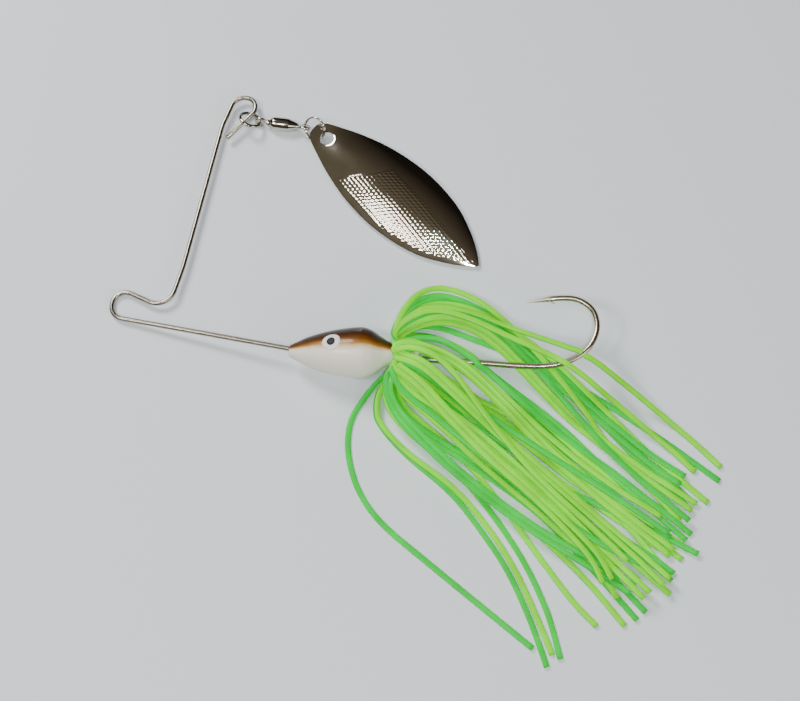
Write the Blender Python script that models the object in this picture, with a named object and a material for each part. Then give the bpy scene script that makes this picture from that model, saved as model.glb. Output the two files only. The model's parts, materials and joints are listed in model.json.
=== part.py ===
"""Spinnerbait: a lead head moulded on a hook and a bent wire arm, which carries a ball-bearing
swivel and a willow-leaf blade, with a skirt of silicone strands behind the head.

The lure lies on its side, as on a table. +X runs from the nose to the hook bend, +Y towards the
blade, +Z up from the surface. The wire and the hook share one plane, the lure plane, which an
empty at the nose tilts: the tail rides up on the skirt and the wire's arm slopes down.
"""
import math

import bpy
import bmesh
from mathutils import Matrix, Vector

MM = 0.001

# Place and tilt of the lure plane; its origin is the nose of the head.
NOSE = Vector((-12.76, -28.52, 4.27)) * MM
TAIL_RISE = math.radians(4.86)
ARM_DROP = math.radians(1.15)

# Wire arm (spring stainless wire).
WIRE_DIAMETER = 1.02 * MM

# Hook.
SHANK_DIAMETER = 1.25 * MM
HOOK_EYE_RADIUS = 1.45 * MM
HOOK_EYE_WIRE = 1.0 * MM
HOOK_EYE_X = 9.6 * MM
HOOK_LINE_Y = -0.75 * MM
BARB_LENGTH = 1.7 * MM
BARB_HEIGHT = 0.75 * MM

# Head (cast lead).
HEAD_RADIUS = 5.55 * MM
HEAD_LENGTH = 22.5 * MM
NECK_RADIUS = 1.5 * MM
NECK_END = 28.0 * MM
CHANNEL_GAP = 0.12 * MM

# Eyes.
EYE_X = 9.4 * MM
EYE_RADIUS = 2.0 * MM
PUPIL_RADIUS = 1.0 * MM
EYE_UP_ANGLE = math.radians(8.0)
EYE_SEAT = 4.0 * MM

# Collar that grips the skirt on the neck.
COLLAR_START = 23.2 * MM
COLLAR_END = 26.4 * MM
COLLAR_RADIUS = 2.7 * MM

# Front ring, on the wire's loop.
RING_HANG = (-13.9 * MM, 56.57 * MM)
RING_CENTRE = (-13.5 * MM, 55.9 * MM)
RING_RADIUS = 2.35 * MM
RING_WIRE = 0.8 * MM
RING_TILT = math.radians(36.0)
LOOP_TAIL_ANGLE = math.radians(-130.0)
RING_EYE_ANGLE = math.radians(46.0)

# Ball-bearing swivel: distances along its axis, from the centre of its front eye.
SHAFT_EYE_RADIUS = 0.98 * MM
SWIVEL_EYE_WIRE = 0.7 * MM
STEM_RADIUS = 0.36 * MM
SHOULDER_START = 1.5 * MM
SHOULDER_END = 2.15 * MM
SHOULDER_RADIUS = 0.8 * MM
BARREL_START = 2.35 * MM
BARREL_CONE = 6.55 * MM
BARREL_END = 8.7 * MM
BARREL_RADIUS = 1.55 * MM
BARREL_MOUTH = 1.0 * MM
BARREL_WALL = 0.24 * MM
BUSHING_START = 2.65 * MM
BUSHING_END = 2.95 * MM
BALL_PLACE = 3.33 * MM
BALL_ORBIT = 0.84 * MM
BALL_RADIUS = 0.3 * MM
BALL_COUNT = 6
SHAFT_HEAD_START = 3.67 * MM
SHAFT_HEAD_END = 4.25 * MM
REAR_HEAD_START = 5.4 * MM
REAR_HEAD_END = 6.0 * MM
REAR_EYE_RADIUS = 1.08 * MM

# Split ring: two turns of thin wire, through the swivel's rear eye and the blade's hole.
SPLIT_RADIUS = 2.6 * MM
SPLIT_WIRE = 0.4 * MM
SPLIT_PITCH = 0.48 * MM
SPLIT_TURNS = 1.85
SPLIT_TILT = math.radians(48.0)
SPLIT_EYE_ANGLE = math.radians(209.0)
SPLIT_START = math.radians(135.0)

# Blade (stamped brass sheet, nickel plated): willow leaf, hole at one end.
HOLE_PLACE = Vector((4.35, 51.8, 2.35)) * MM
BLADE_HEADING = math.radians(-38.65)
BLADE_SLOPE = math.radians(2.1)
BLADE_ROLL = math.radians(4.0)
BLADE_THICKNESS = 0.5 * MM
BLADE_DOME = 2.4 * MM
HOLE_RADIUS = 1.65 * MM
RIM_IN_HOLE = 1.2 * MM
BLADE_BACK = -4.1 * MM
BLADE_TIP = 45.2 * MM
FLAT_END = -1.5 * MM

# Skirt.
STRAND_DIAMETER = 1.2 * MM
BUNDLE_DIAMETER = 3.0 * MM


def clear_scene():
    for thing in list(bpy.data.objects):
        bpy.data.objects.remove(thing, do_unlink=True)


def material(name, colour, roughness, metallic):
    made = bpy.data.materials.new(name)
    made.use_nodes = True
    shader = made.node_tree.nodes["Principled BSDF"]
    shader.inputs["Base Color"].default_value = (*colour, 1.0)
    shader.inputs["Roughness"].default_value = roughness
    shader.inputs["Metallic"].default_value = metallic
    return made


def link(name, mesh, stuff):
    thing = bpy.data.objects.new(name, mesh)
    bpy.context.scene.collection.objects.link(thing)
    thing.data.materials.append(stuff)
    return thing


def mesh_from(name, rings, closed=False):
    """A closed tube from rings of points: rings joined side by side, its ends capped."""
    work = bmesh.new()
    loops = [[work.verts.new(point) for point in ring] for ring in rings]
    sides = len(loops[0])
    steps = len(loops) if closed else len(loops) - 1
    for step in range(steps):
        near = loops[step]
        far = loops[(step + 1) % len(loops)]
        for side in range(sides):
            after = (side + 1) % sides
            work.faces.new((near[side], near[after], far[after], far[side]))
    if not closed:
        work.faces.new(list(reversed(loops[0])))
        work.faces.new(loops[-1])
    bmesh.ops.recalc_face_normals(work, faces=work.faces)
    mesh = bpy.data.meshes.new(name)
    work.to_mesh(mesh)
    work.free()
    mesh.shade_smooth()
    mesh.set_sharp_from_angle(angle=math.radians(35.0))
    return mesh


def sweep(path, radii, sides, closed=False, first_side=Vector((0.0, 0.0, 1.0))):
    """Rings of points round a path, with a frame that is carried along without twist."""
    count = len(path)
    rings = []
    side = Vector(first_side)
    for index, point in enumerate(path):
        before = path[(index - 1) % count] if closed else path[max(index - 1, 0)]
        after = path[(index + 1) % count] if closed else path[min(index + 1, count - 1)]
        along = (after - before).normalized()
        side = (side - along * side.dot(along)).normalized()
        other = along.cross(side)
        radius = radii[index] if isinstance(radii, list) else radii
        ring = []
        for step in range(sides):
            turn = 2.0 * math.pi * step / sides
            ring.append(point + (side * math.cos(turn) + other * math.sin(turn)) * radius)
        rings.append(ring)
    return rings


def filleted(corners, step_angle=20.0):
    """A flat line through corners (x, y, bend radius), in millimetres, with round bends."""
    places = [Vector((x, y, 0.0)) for x, y, radius in corners]
    line = [places[0]]
    for index in range(1, len(corners) - 1):
        into = (places[index] - places[index - 1]).normalized()
        out = (places[index + 1] - places[index]).normalized()
        turn = into.angle(out)
        radius = corners[index][2]
        start = places[index] - into * radius * math.tan(turn / 2.0)
        inward = (out - into * out.dot(into)).normalized()
        centre = start + inward * radius
        steps = max(2, round(math.degrees(turn) / step_angle))
        for step in range(steps + 1):
            angle = turn * step / steps
            line.append(centre - inward * radius * math.cos(angle) + into * radius * math.sin(angle))
    line.append(places[-1])
    return [point * MM for point in line]


def smooth(points, count):
    """Evenly spaced points on a Catmull-Rom curve through a few chosen ones."""
    ends = [points[0] * 2.0 - points[1]] + list(points) + [points[-1] * 2.0 - points[-2]]
    fine = []
    for index in range(1, len(ends) - 2):
        a, b, c, d = ends[index - 1], ends[index], ends[index + 1], ends[index + 2]
        for step in range(24):
            t = step / 24.0
            fine.append((b * 2.0 + (c - a) * t + (a * 2.0 - b * 5.0 + c * 4.0 - d) * t * t
                         + (b * 3.0 - a - c * 3.0 + d) * t ** 3) * 0.5)
    fine.append(ends[-2].copy())
    lengths = [0.0]
    for index in range(1, len(fine)):
        lengths.append(lengths[-1] + (fine[index] - fine[index - 1]).length)
    even = []
    place = 0
    for step in range(count):
        want = lengths[-1] * step / (count - 1)
        while place < len(fine) - 2 and lengths[place + 1] < want:
            place += 1
        share = (want - lengths[place]) / (lengths[place + 1] - lengths[place])
        even.append(fine[place].lerp(fine[place + 1], share))
    return even


def eye_loop(radius, start_angle, end_angle, steps):
    """An open eye in the x-z plane about the origin, which leaves along +X."""
    loop = []
    for step in range(steps + 1):
        angle = start_angle + (end_angle - start_angle) * step / steps
        loop.append(Vector((radius * math.cos(angle), 0.0, radius * math.sin(angle))))
    return loop


def turned(name, profile, sides, stuff):
    """A solid turned about X from a closed profile of (x, radius) points off the axis."""
    rings = []
    for step in range(sides):
        angle = 2.0 * math.pi * step / sides
        ring = [Vector((x, r * math.cos(angle), r * math.sin(angle))) for x, r in profile]
        rings.append(ring)
    return link(name, mesh_from(name, rings, closed=True), stuff)


def turned_closed(name, profile, sides, stuff):
    """A solid turned about X whose profile's ends lie on the axis."""
    work = bmesh.new()
    tips = [work.verts.new((profile[0][0], 0.0, 0.0)), work.verts.new((profile[-1][0], 0.0, 0.0))]
    loops = []
    for x, r in profile[1:-1]:
        loop = []
        for step in range(sides):
            angle = 2.0 * math.pi * step / sides
            loop.append(work.verts.new((x, r * math.cos(angle), r * math.sin(angle))))
        loops.append(loop)
    for side in range(sides):
        after = (side + 1) % sides
        work.faces.new((tips[0], loops[0][after], loops[0][side]))
        work.faces.new((tips[1], loops[-1][side], loops[-1][after]))
        for near, far in zip(loops, loops[1:]):
            work.faces.new((near[side], near[after], far[after], far[side]))
    bmesh.ops.recalc_face_normals(work, faces=work.faces)
    mesh = bpy.data.meshes.new(name)
    work.to_mesh(mesh)
    work.free()
    mesh.shade_smooth()
    mesh.set_sharp_from_angle(angle=math.radians(35.0))
    return link(name, mesh, stuff)


def frame_matrix(place, x_axis, y_axis):
    """A placing matrix with its x along x_axis and its y as near y_axis as it can be."""
    x_dir = x_axis.normalized()
    z_dir = x_dir.cross(y_axis).normalized()
    y_dir = z_dir.cross(x_dir)
    turn = Matrix((x_dir, y_dir, z_dir)).transposed()
    return Matrix.Translation(place) @ turn.to_4x4()


def cutter(name, mesh):
    thing = bpy.data.objects.new(name, mesh)
    bpy.context.scene.collection.objects.link(thing)
    thing.hide_render = True
    thing.display_type = "WIRE"
    return thing


def cut(body, tool):
    change = body.modifiers.new(tool.name, "BOOLEAN")
    change.operation = "DIFFERENCE"
    change.solver = "EXACT"
    change.object = tool


def lure_plane():
    empty = bpy.data.objects.new("lure_plane", None)
    bpy.context.scene.collection.objects.link(empty)
    empty.location = NOSE
    empty.rotation_euler = (-ARM_DROP, -TAIL_RISE, 0.0)
    bpy.context.view_layer.update()
    return empty


def wire_line():
    """The bent wire's middle line, from its end in the hook's eye to its free tail."""
    corners = [
        (HOOK_EYE_X / MM, -3.0, 0.0),
        (HOOK_EYE_X / MM, 1.0, 1.1),
        (1.5, 0.3, 12.0),
        (-40.3, 7.15, 2.9),
        (-40.0, 14.3, 2.8),
        (-27.7, 8.9, 4.0),
        (-25.2, 19.5, 24.0),
        (-19.75, 54.3, 14.0),
        (-17.19, 62.19, 2.95),
        (-10.76, 60.29, 2.45),
        (-18.4, 51.2, 0.0),
    ]
    return filleted(corners)


def wire_frame(plane, stuff):
    path = wire_line()
    mesh = mesh_from("wire_frame", sweep(path, WIRE_DIAMETER / 2.0, 8))
    arm = link("wire_frame", mesh, stuff)
    arm.parent = plane
    return path


def hook_line():
    """The hook's middle line and its radii: open eye, shank, round bend and tapered point."""
    eye = eye_loop(HOOK_EYE_RADIUS, math.radians(48.0), math.radians(318.0), 14)
    eye = [point + Vector((HOOK_EYE_X, HOOK_LINE_Y, 0.0)) for point in eye]
    lead_in = [Vector((HOOK_EYE_X + 2.1 * MM, HOOK_LINE_Y, -0.3 * MM)),
               Vector((HOOK_EYE_X + 3.2 * MM, HOOK_LINE_Y, 0.0))]
    bend = [Vector(place) * MM for place in (
        (22.0, -0.9, 0.0), (38.0, -1.5, 0.0), (50.0, -2.1, 0.0), (56.0, -1.85, 0.0),
        (60.4, -0.4, 0.0), (63.9, 2.5, 0.0), (65.5, 6.6, 0.0), (64.7, 10.7, 0.0),
        (61.7, 13.2, 0.0), (57.5, 13.65, 0.0), (50.3, 12.5, 0.0))]
    shank = smooth([lead_in[1]] + bend, 46)
    path = eye + lead_in[:1] + shank
    thin = HOOK_EYE_WIRE / 2.0
    full = SHANK_DIAMETER / 2.0
    radii = [thin] * (len(eye) + 1)
    taper_start = 0.93
    for index in range(len(shank)):
        share = index / (len(shank) - 1)
        grown = min(1.0, share / 0.12)
        radius = thin + (full - thin) * grown
        if share > taper_start:
            radius *= 1.0 - 0.93 * (share - taper_start) / (1.0 - taper_start)
        radii.append(radius)
    return path, radii


def barb(path):
    """A sliver raised from the spear, leaning back from the point, on the inner side."""
    root = path[-5]
    back = (path[-6] - path[-4]).normalized()
    inner = Vector((back.y, -back.x, 0.0))
    half = 0.24 * MM
    low = SHANK_DIAMETER * 0.2
    base = root - back * 0.3 * MM
    heel = root + back * BARB_LENGTH * 0.55
    tip = root + back * BARB_LENGTH + inner * (BARB_HEIGHT + low)
    across = Vector((0.0, 0.0, half))
    work = bmesh.new()
    places = (base - across, base + across, heel + across, heel - across, tip)
    corners = [work.verts.new(place) for place in places]
    work.faces.new(corners[:4])
    for index in range(4):
        work.faces.new((corners[index], corners[(index + 1) % 4], corners[4]))
    bmesh.ops.recalc_face_normals(work, faces=work.faces)
    mesh = bpy.data.meshes.new("barb")
    work.to_mesh(mesh)
    work.free()
    return mesh


def hook(plane, stuff):
    path, radii = hook_line()
    mesh = mesh_from("hook", sweep(path, radii, 8, first_side=Vector((0.0, 1.0, 0.0))))
    thing = link("hook", mesh, stuff)
    thing.parent = plane
    tool = cutter("hook_barb", barb(path))
    tool.parent = plane
    change = thing.modifiers.new("barb", "BOOLEAN")
    change.operation = "UNION"
    change.solver = "EXACT"
    change.object = tool
    return path, radii


def head_profile():
    """(x, radius) points of the minnow-shaped head, its neck and the ridge that keeps the collar."""
    shape = [(0.0, 1.35), (1.6, 2.1), (4.0, 3.2), (7.5, 4.3), (11.0, 5.05), (14.5, 5.5),
             (16.2, 5.45), (17.8, 4.85), (19.3, 3.85), (20.8, 2.85), (22.5, 2.05)]
    scale = HEAD_RADIUS / (5.55 * MM)
    profile = [(0.0, 0.0)]
    profile += [(x * MM, r * MM * scale) for x, r in shape]
    profile += [(HEAD_LENGTH + 0.3 * MM, NECK_RADIUS), (COLLAR_END + 0.4 * MM, NECK_RADIUS),
                (COLLAR_END + 0.7 * MM, NECK_RADIUS + 0.35 * MM), (NECK_END, NECK_RADIUS - 0.2 * MM),
                (NECK_END, 0.0)]
    return profile


def lead_head(plane, stuff, wire_path, hook_path, hook_radii):
    head = turned_closed("lead_head", head_profile(), 20, stuff)
    head.parent = plane
    wide = WIRE_DIAMETER / 2.0 + CHANNEL_GAP
    wire_part = [point for point in wire_path if point.x > -0.2 * MM]
    nose_point = wire_path[len(wire_part)]
    wire_part.append(wire_part[-1].lerp(nose_point, 0.06))
    wire_tool = cutter("wire_channel", mesh_from("wire_channel", sweep(wire_part, wide, 8)))
    shank_part = [point for point in hook_path if point.x < NECK_END + 2.5 * MM]
    shank_radii = [radius + CHANNEL_GAP for radius in hook_radii[:len(shank_part)]]
    rings = sweep(shank_part, shank_radii, 8, first_side=Vector((0.0, 1.0, 0.0)))
    shank_tool = cutter("shank_channel", mesh_from("shank_channel", rings))
    for tool in (wire_tool, shank_tool):
        tool.parent = plane
        cut(head, tool)
    for side in (1.0, -1.0):
        place = eye_frame(side) @ Matrix.Translation((0.0, 0.0, EYE_SEAT))
        seat = cutter("eye_seat", disc_mesh("eye_seat", EYE_RADIUS + 0.1 * MM, 0.0, 3.0 * MM, 16))
        seat.parent = plane
        seat.matrix_local = place
        cut(head, seat)


def eye_frame(side):
    """Local frame of an eye: +Z straight out of the head's flank, a little above its middle."""
    out = Vector((0.0, math.sin(EYE_UP_ANGLE), side * math.cos(EYE_UP_ANGLE)))
    x_dir = Vector((1.0, 0.0, 0.0))
    y_dir = out.cross(x_dir)
    turn = Matrix((x_dir, y_dir, out)).transposed()
    return Matrix.Translation((EYE_X, 0.0, 0.0)) @ turn.to_4x4()


def disc_mesh(name, radius, bottom, top, sides):
    rings = []
    for height in (bottom, top):
        ring = []
        for step in range(sides):
            angle = 2.0 * math.pi * step / sides
            ring.append(Vector((radius * math.cos(angle), radius * math.sin(angle), height)))
        rings.append(ring)
    return mesh_from(name, rings)


def eyes(plane, white, black):
    for name, side in (("left", 1.0), ("right", -1.0)):
        seat = eye_frame(side)
        low = EYE_SEAT + 0.1 * MM
        high = low + 0.5 * MM
        disc = link("eye_white_" + name, disc_mesh("eye_white", EYE_RADIUS, low, high, 16), white)
        dot_low = high + 0.08 * MM
        dot_high = dot_low + 0.2 * MM
        dot = link("eye_pupil_" + name, disc_mesh("eye_pupil", PUPIL_RADIUS, dot_low, dot_high, 12), black)
        for piece in (disc, dot):
            piece.parent = plane
            piece.matrix_local = seat


def skirt_collar(plane, stuff):
    inner = NECK_RADIUS + 0.12 * MM
    profile = [(COLLAR_START, inner), (COLLAR_END, inner), (COLLAR_END, COLLAR_RADIUS - 0.4 * MM),
               (COLLAR_END - 0.4 * MM, COLLAR_RADIUS), (COLLAR_START + 0.4 * MM, COLLAR_RADIUS),
               (COLLAR_START, COLLAR_RADIUS - 0.4 * MM)]
    turned("skirt_collar", profile, 16, stuff).parent = plane


def ring_frames(plane):
    """Where the front ring, the swivel, the split ring and the blade lie, as placing matrices."""
    turn = plane.matrix_world.to_3x3()
    tail = turn @ Vector((math.cos(LOOP_TAIL_ANGLE), math.sin(LOOP_TAIL_ANGLE), 0.0))
    up = turn @ Vector((0.0, 0.0, 1.0))
    rising = tail * math.cos(RING_TILT) + up * math.sin(RING_TILT)
    across = tail.cross(up) * -1.0
    ring_place = plane.matrix_world @ Vector((*RING_CENTRE, 0.0))
    front = frame_matrix(ring_place, across, rising)

    heading = Vector((math.cos(BLADE_HEADING), math.sin(BLADE_HEADING), -math.tan(BLADE_SLOPE)))
    heading.normalize()
    level = Vector((0.0, 0.0, 1.0)).cross(heading).normalized()
    lift = heading.cross(level)
    rolled = level * math.cos(BLADE_ROLL) + lift * math.sin(BLADE_ROLL)
    hole_place = HOLE_PLACE + Vector((NOSE.x, NOSE.y, 0.0))
    blade_frame = frame_matrix(hole_place, heading, rolled)
    tilted = level * math.cos(SPLIT_TILT) + lift * math.sin(SPLIT_TILT)
    split_place = hole_place - heading * (RIM_IN_HOLE + SPLIT_RADIUS)
    split_frame = frame_matrix(split_place, heading, tilted)

    rim = Vector((math.cos(RING_EYE_ANGLE), -math.sin(RING_EYE_ANGLE), 0.0)) * RING_RADIUS
    front_eye = front @ rim
    rear_rim = Vector((math.cos(SPLIT_EYE_ANGLE), math.sin(SPLIT_EYE_ANGLE), 0.0)) * SPLIT_RADIUS
    rear_eye = split_frame @ rear_rim
    axis = (rear_eye - front_eye).normalized()
    front_tangent = front.to_3x3() @ Vector((-math.sin(-RING_EYE_ANGLE), math.cos(-RING_EYE_ANGLE), 0.0))
    eye_way = Vector((-math.sin(SPLIT_EYE_ANGLE), math.cos(SPLIT_EYE_ANGLE), 0.0))
    rear_tangent = split_frame.to_3x3() @ eye_way
    shaft = frame_matrix(front_eye, axis, front_tangent)
    rear = frame_matrix(rear_eye, axis * -1.0, rear_tangent)
    return front, shaft, rear, split_frame, blade_frame


def front_ring(place, stuff):
    steps = 20
    path = []
    for step in range(steps):
        angle = 2.0 * math.pi * step / steps
        path.append(Vector((math.cos(angle), math.sin(angle), 0.0)) * RING_RADIUS)
    ring = link("front_ring", mesh_from("front_ring", sweep(path, RING_WIRE / 2.0, 8, closed=True)), stuff)
    ring.matrix_world = place


def eyed_pin(name, place, eye_radius, steps, stuff):
    """A wire eye about the origin with a stem along +X that ends in a wider head."""
    wire = SWIVEL_EYE_WIRE / 2.0
    eye = eye_loop(eye_radius, math.radians(50.0), math.radians(315.0), 12)
    neck = Vector((eye_radius * 1.3, 0.0, -eye_radius * 0.2))
    path = eye + [neck] + [Vector((x, 0.0, 0.0)) for x, radius in steps]
    radii = [wire] * (len(eye) + 1) + [radius for x, radius in steps]
    rings = sweep(path, radii, 8, first_side=Vector((0.0, 1.0, 0.0)))
    pin = link(name, mesh_from(name, rings), stuff)
    pin.matrix_world = place


def swivel(shaft_place, rear_place, steel, brass):
    head = BARREL_RADIUS - BARREL_WALL - 0.12 * MM
    shaft_steps = [(SHOULDER_START - 0.1 * MM, SWIVEL_EYE_WIRE / 2.0), (SHOULDER_START, SHOULDER_RADIUS),
                   (SHOULDER_END, SHOULDER_RADIUS), (SHOULDER_END + 0.05 * MM, STEM_RADIUS),
                   (SHAFT_HEAD_START, STEM_RADIUS),
                   (SHAFT_HEAD_START + 0.02 * MM, head), (SHAFT_HEAD_END, head)]
    eyed_pin("swivel_shaft", shaft_place, SHAFT_EYE_RADIUS, shaft_steps, steel)

    inner = BARREL_RADIUS - BARREL_WALL
    bore = STEM_RADIUS + 0.1 * MM
    shell = [(BARREL_START, BARREL_MOUTH), (BARREL_START, BARREL_RADIUS - 0.35 * MM),
             (BARREL_START + 0.8 * MM, BARREL_RADIUS), (BARREL_CONE, BARREL_RADIUS),
             (BARREL_END - 0.2 * MM, 0.75 * MM), (BARREL_END, 0.62 * MM), (BARREL_END, bore),
             (BARREL_CONE - 0.2 * MM, bore), (BARREL_CONE - 0.2 * MM, inner),
             (BARREL_START + 0.7 * MM, inner), (BARREL_START + 0.2 * MM, BARREL_MOUTH)]
    turned("swivel_barrel", shell, 16, steel).matrix_world = shaft_place
    rim = BARREL_MOUTH - 0.05 * MM
    hole = STEM_RADIUS + 0.12 * MM
    ring = [(BUSHING_START, hole), (BUSHING_START, rim), (BUSHING_END, rim), (BUSHING_END, hole)]
    turned("swivel_bushing", ring, 16, brass).matrix_world = shaft_place

    between = (rear_place.translation - shaft_place.translation).length
    rear_steps = [(1.65 * MM, STEM_RADIUS), (between - REAR_HEAD_END, STEM_RADIUS),
                  (between - REAR_HEAD_END + 0.02 * MM, head), (between - REAR_HEAD_START, head)]
    eyed_pin("swivel_rear_loop", rear_place, REAR_EYE_RADIUS, rear_steps, steel)

    for number in range(BALL_COUNT):
        angle = 2.0 * math.pi * number / BALL_COUNT
        centre = Vector((BALL_PLACE, BALL_ORBIT * math.cos(angle), BALL_ORBIT * math.sin(angle)))
        work = bmesh.new()
        bmesh.ops.create_icosphere(work, subdivisions=1, radius=BALL_RADIUS)
        bmesh.ops.translate(work, vec=centre, verts=work.verts)
        mesh = bpy.data.meshes.new("bearing_ball")
        work.to_mesh(mesh)
        work.free()
        mesh.shade_smooth()
        ball = link("bearing_ball_" + str(number + 1), mesh, steel)
        ball.matrix_world = shaft_place


def split_ring(place, stuff):
    steps = round(22 * SPLIT_TURNS)
    start = SPLIT_START
    path = []
    for step in range(steps + 1):
        share = step / steps
        angle = start + 2.0 * math.pi * SPLIT_TURNS * share
        rise = (share - 0.5) * SPLIT_PITCH * SPLIT_TURNS
        path.append(Vector((SPLIT_RADIUS * math.cos(angle), SPLIT_RADIUS * math.sin(angle), rise)))
    ring = link("split_ring", mesh_from("split_ring", sweep(path, SPLIT_WIRE / 2.0, 6)), stuff)
    ring.matrix_world = place


def blade_half_width(x):
    """Half the willow leaf's width at a distance x, in metres, from the hole's centre."""
    outline = [(-4.1, 0.8), (-3.7, 1.7), (-2.2, 2.9), (1.0, 4.3), (6.0, 6.2), (13.0, 8.0),
               (21.0, 8.8), (28.0, 8.3), (34.0, 6.9), (39.0, 4.6), (42.6, 2.4), (45.2, 0.25)]
    line = smooth([Vector((px, py, 0.0)) for px, py in outline], 160)
    for near, far in zip(line, line[1:]):
        if near.x <= x / MM <= far.x:
            share = (x / MM - near.x) / (far.x - near.x)
            return (near.y + (far.y - near.y) * share) * MM
    return outline[-1][1] * MM


def blade(place, stuff):
    rows = 22
    columns = 8
    work = bmesh.new()
    layers = []
    for lift in (BLADE_THICKNESS / 2.0, -BLADE_THICKNESS / 2.0):
        grid = []
        for row in range(rows + 1):
            share = row / rows
            x = BLADE_BACK + (BLADE_TIP - BLADE_BACK) * (share - math.sin(4 * math.pi * share) / 18.0)
            half = blade_half_width(x)
            arch = max(0.0, (x - FLAT_END) / (BLADE_TIP - FLAT_END))
            crown = BLADE_DOME * math.sin(math.pi * min(arch, 1.0))
            line = []
            for column in range(columns + 1):
                across = -1.0 + 2.0 * column / columns
                line.append(work.verts.new((x, across * half, crown * (1.0 - across * across) + lift)))
            grid.append(line)
        layers.append(grid)
    top, bottom = layers
    for row in range(rows):
        for column in range(columns):
            work.faces.new((top[row][column], top[row + 1][column],
                            top[row + 1][column + 1], top[row][column + 1]))
            work.faces.new((bottom[row][column], bottom[row][column + 1],
                            bottom[row + 1][column + 1], bottom[row + 1][column]))
        for column in (0, columns):
            work.faces.new((top[row][column], bottom[row][column],
                            bottom[row + 1][column], top[row + 1][column]))
    for row in (0, rows):
        for column in range(columns):
            work.faces.new((top[row][column], top[row][column + 1],
                            bottom[row][column + 1], bottom[row][column]))
    bmesh.ops.recalc_face_normals(work, faces=work.faces)
    mesh = bpy.data.meshes.new("blade")
    work.to_mesh(mesh)
    work.free()
    mesh.shade_smooth()
    mesh.set_sharp_from_angle(angle=math.radians(35.0))
    leaf = link("blade", mesh, stuff)
    leaf.matrix_world = place
    tool = cutter("blade_hole", disc_mesh("blade_hole", HOLE_RADIUS, -3.0 * MM, 3.0 * MM, 16))
    tool.matrix_world = place
    cut(leaf, tool)


# Routes of the skirt's bundles and single strands: (x, y) from the nose and height above the
# surface, in millimetres, from the collar to the tips.
BUNDLES = {
    "skirt_bundle_far_loop": [
        (23.0, 4.8, 7.4), (25.8, 9.8, 6.3), (31.0, 12.8, 4.4), (38.0, 12.3, 3.6), (46.0, 8.0, 3.5),
        (56.0, 0.0, 3.5), (66.0, -9.5, 3.0), (76.0, -19.0, 2.2), (86.5, -27.5, 1.8)],
    "skirt_bundle_over_shank": [
        (22.5, 2.6, 10.2), (26.5, 5.8, 10.8), (33.0, 6.8, 8.6), (40.5, 4.2, 5.6), (49.5, -2.5, 3.4),
        (60.0, -11.5, 2.2), (71.0, -21.0, 1.8), (84.5, -31.0, 1.8)],
    "skirt_bundle_top": [
        (22.5, -1.0, 10.8), (27.5, -2.0, 12.4), (34.5, -6.0, 11.0), (43.5, -13.0, 7.4),
        (54.5, -22.0, 5.0), (67.0, -31.4, 4.2), (80.0, -41.0, 3.7)],
    "skirt_bundle_near_top": [
        (22.4, -4.4, 9.3), (26.2, -7.8, 9.9), (33.0, -12.2, 8.6), (43.0, -19.5, 6.4),
        (55.0, -28.8, 5.2), (67.0, -38.5, 4.9), (77.0, -46.0, 4.6)],
    "skirt_bundle_near": [
        (21.6, -5.6, 5.6), (23.4, -9.9, 5.6), (30.0, -15.6, 4.4), (41.0, -24.2, 3.4),
        (54.0, -34.0, 2.8), (66.0, -43.5, 2.2), (74.0, -51.0, 1.8)],
    "skirt_bundle_near_low": [
        (22.5, -3.2, 2.3), (26.5, -6.5, 1.8), (33.0, -11.0, 1.8), (43.5, -18.5, 1.8),
        (56.0, -27.5, 1.8), (69.0, -37.0, 1.8), (79.0, -44.0, 1.8)],
    "skirt_bundle_low": [
        (23.5, 0.4, 1.8), (29.0, -2.6, 1.8), (37.5, -8.0, 1.8), (48.5, -15.0, 1.8),
        (60.5, -23.5, 1.8), (73.0, -32.0, 1.8), (83.0, -39.3, 1.8)],
    "skirt_bundle_far_low": [
        (22.9, 4.2, 3.1), (28.5, 5.0, 2.0), (36.0, 1.6, 1.8), (46.0, -6.0, 1.8),
        (58.0, -15.2, 1.8), (70.5, -25.6, 1.8), (81.3, -33.7, 1.8)],
}
STRANDS = {
    "skirt_strand_over_hook": [
        (24.0, 6.4, 13.3), (30.0, 9.4, 12.6), (38.0, 8.5, 12.0), (47.0, 5.6, 11.7), (56.0, 3.2, 11.4),
        (63.2, 0.9, 11.3), (70.0, -2.6, 8.6), (77.0, -6.6, 4.6), (85.0, -12.2, 1.4), (93.0, -19.6, 0.9)],
    "skirt_strand_under_hook": [
        (26.2, 8.2, 2.8), (32.0, 8.6, 1.1), (41.0, 6.0, 0.9), (52.0, 2.4, 0.9), (60.0, -1.6, 0.9),
        (70.0, -7.6, 0.9), (81.0, -14.8, 0.9), (92.5, -23.0, 0.9)],
    "skirt_strand_lone": [
        (18.9, -5.4, 3.2), (15.6, -9.2, 1.4), (13.3, -14.0, 0.9), (13.8, -21.0, 0.9), (17.0, -28.6, 0.9),
        (22.4, -35.2, 0.9), (32.0, -43.0, 0.9), (43.0, -52.0, 0.9), (54.0, -61.0, 0.9)],
    "skirt_strand_pair": [
        (19.0, -8.2, 4.2), (19.4, -13.6, 1.4), (26.0, -20.4, 0.9), (36.0, -27.6, 0.9), (42.4, -35.2, 0.9),
        (48.2, -44.6, 0.9), (53.0, -55.0, 0.9), (57.2, -64.4, 0.9)],
    "skirt_strand_near_stray": [
        (24.2, -9.9, 1.6), (29.0, -14.8, 0.9), (36.0, -21.8, 0.9), (44.0, -31.0, 0.9),
        (51.0, -42.0, 0.9), (56.6, -53.0, 0.9), (60.4, -62.4, 0.9)],
}


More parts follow.
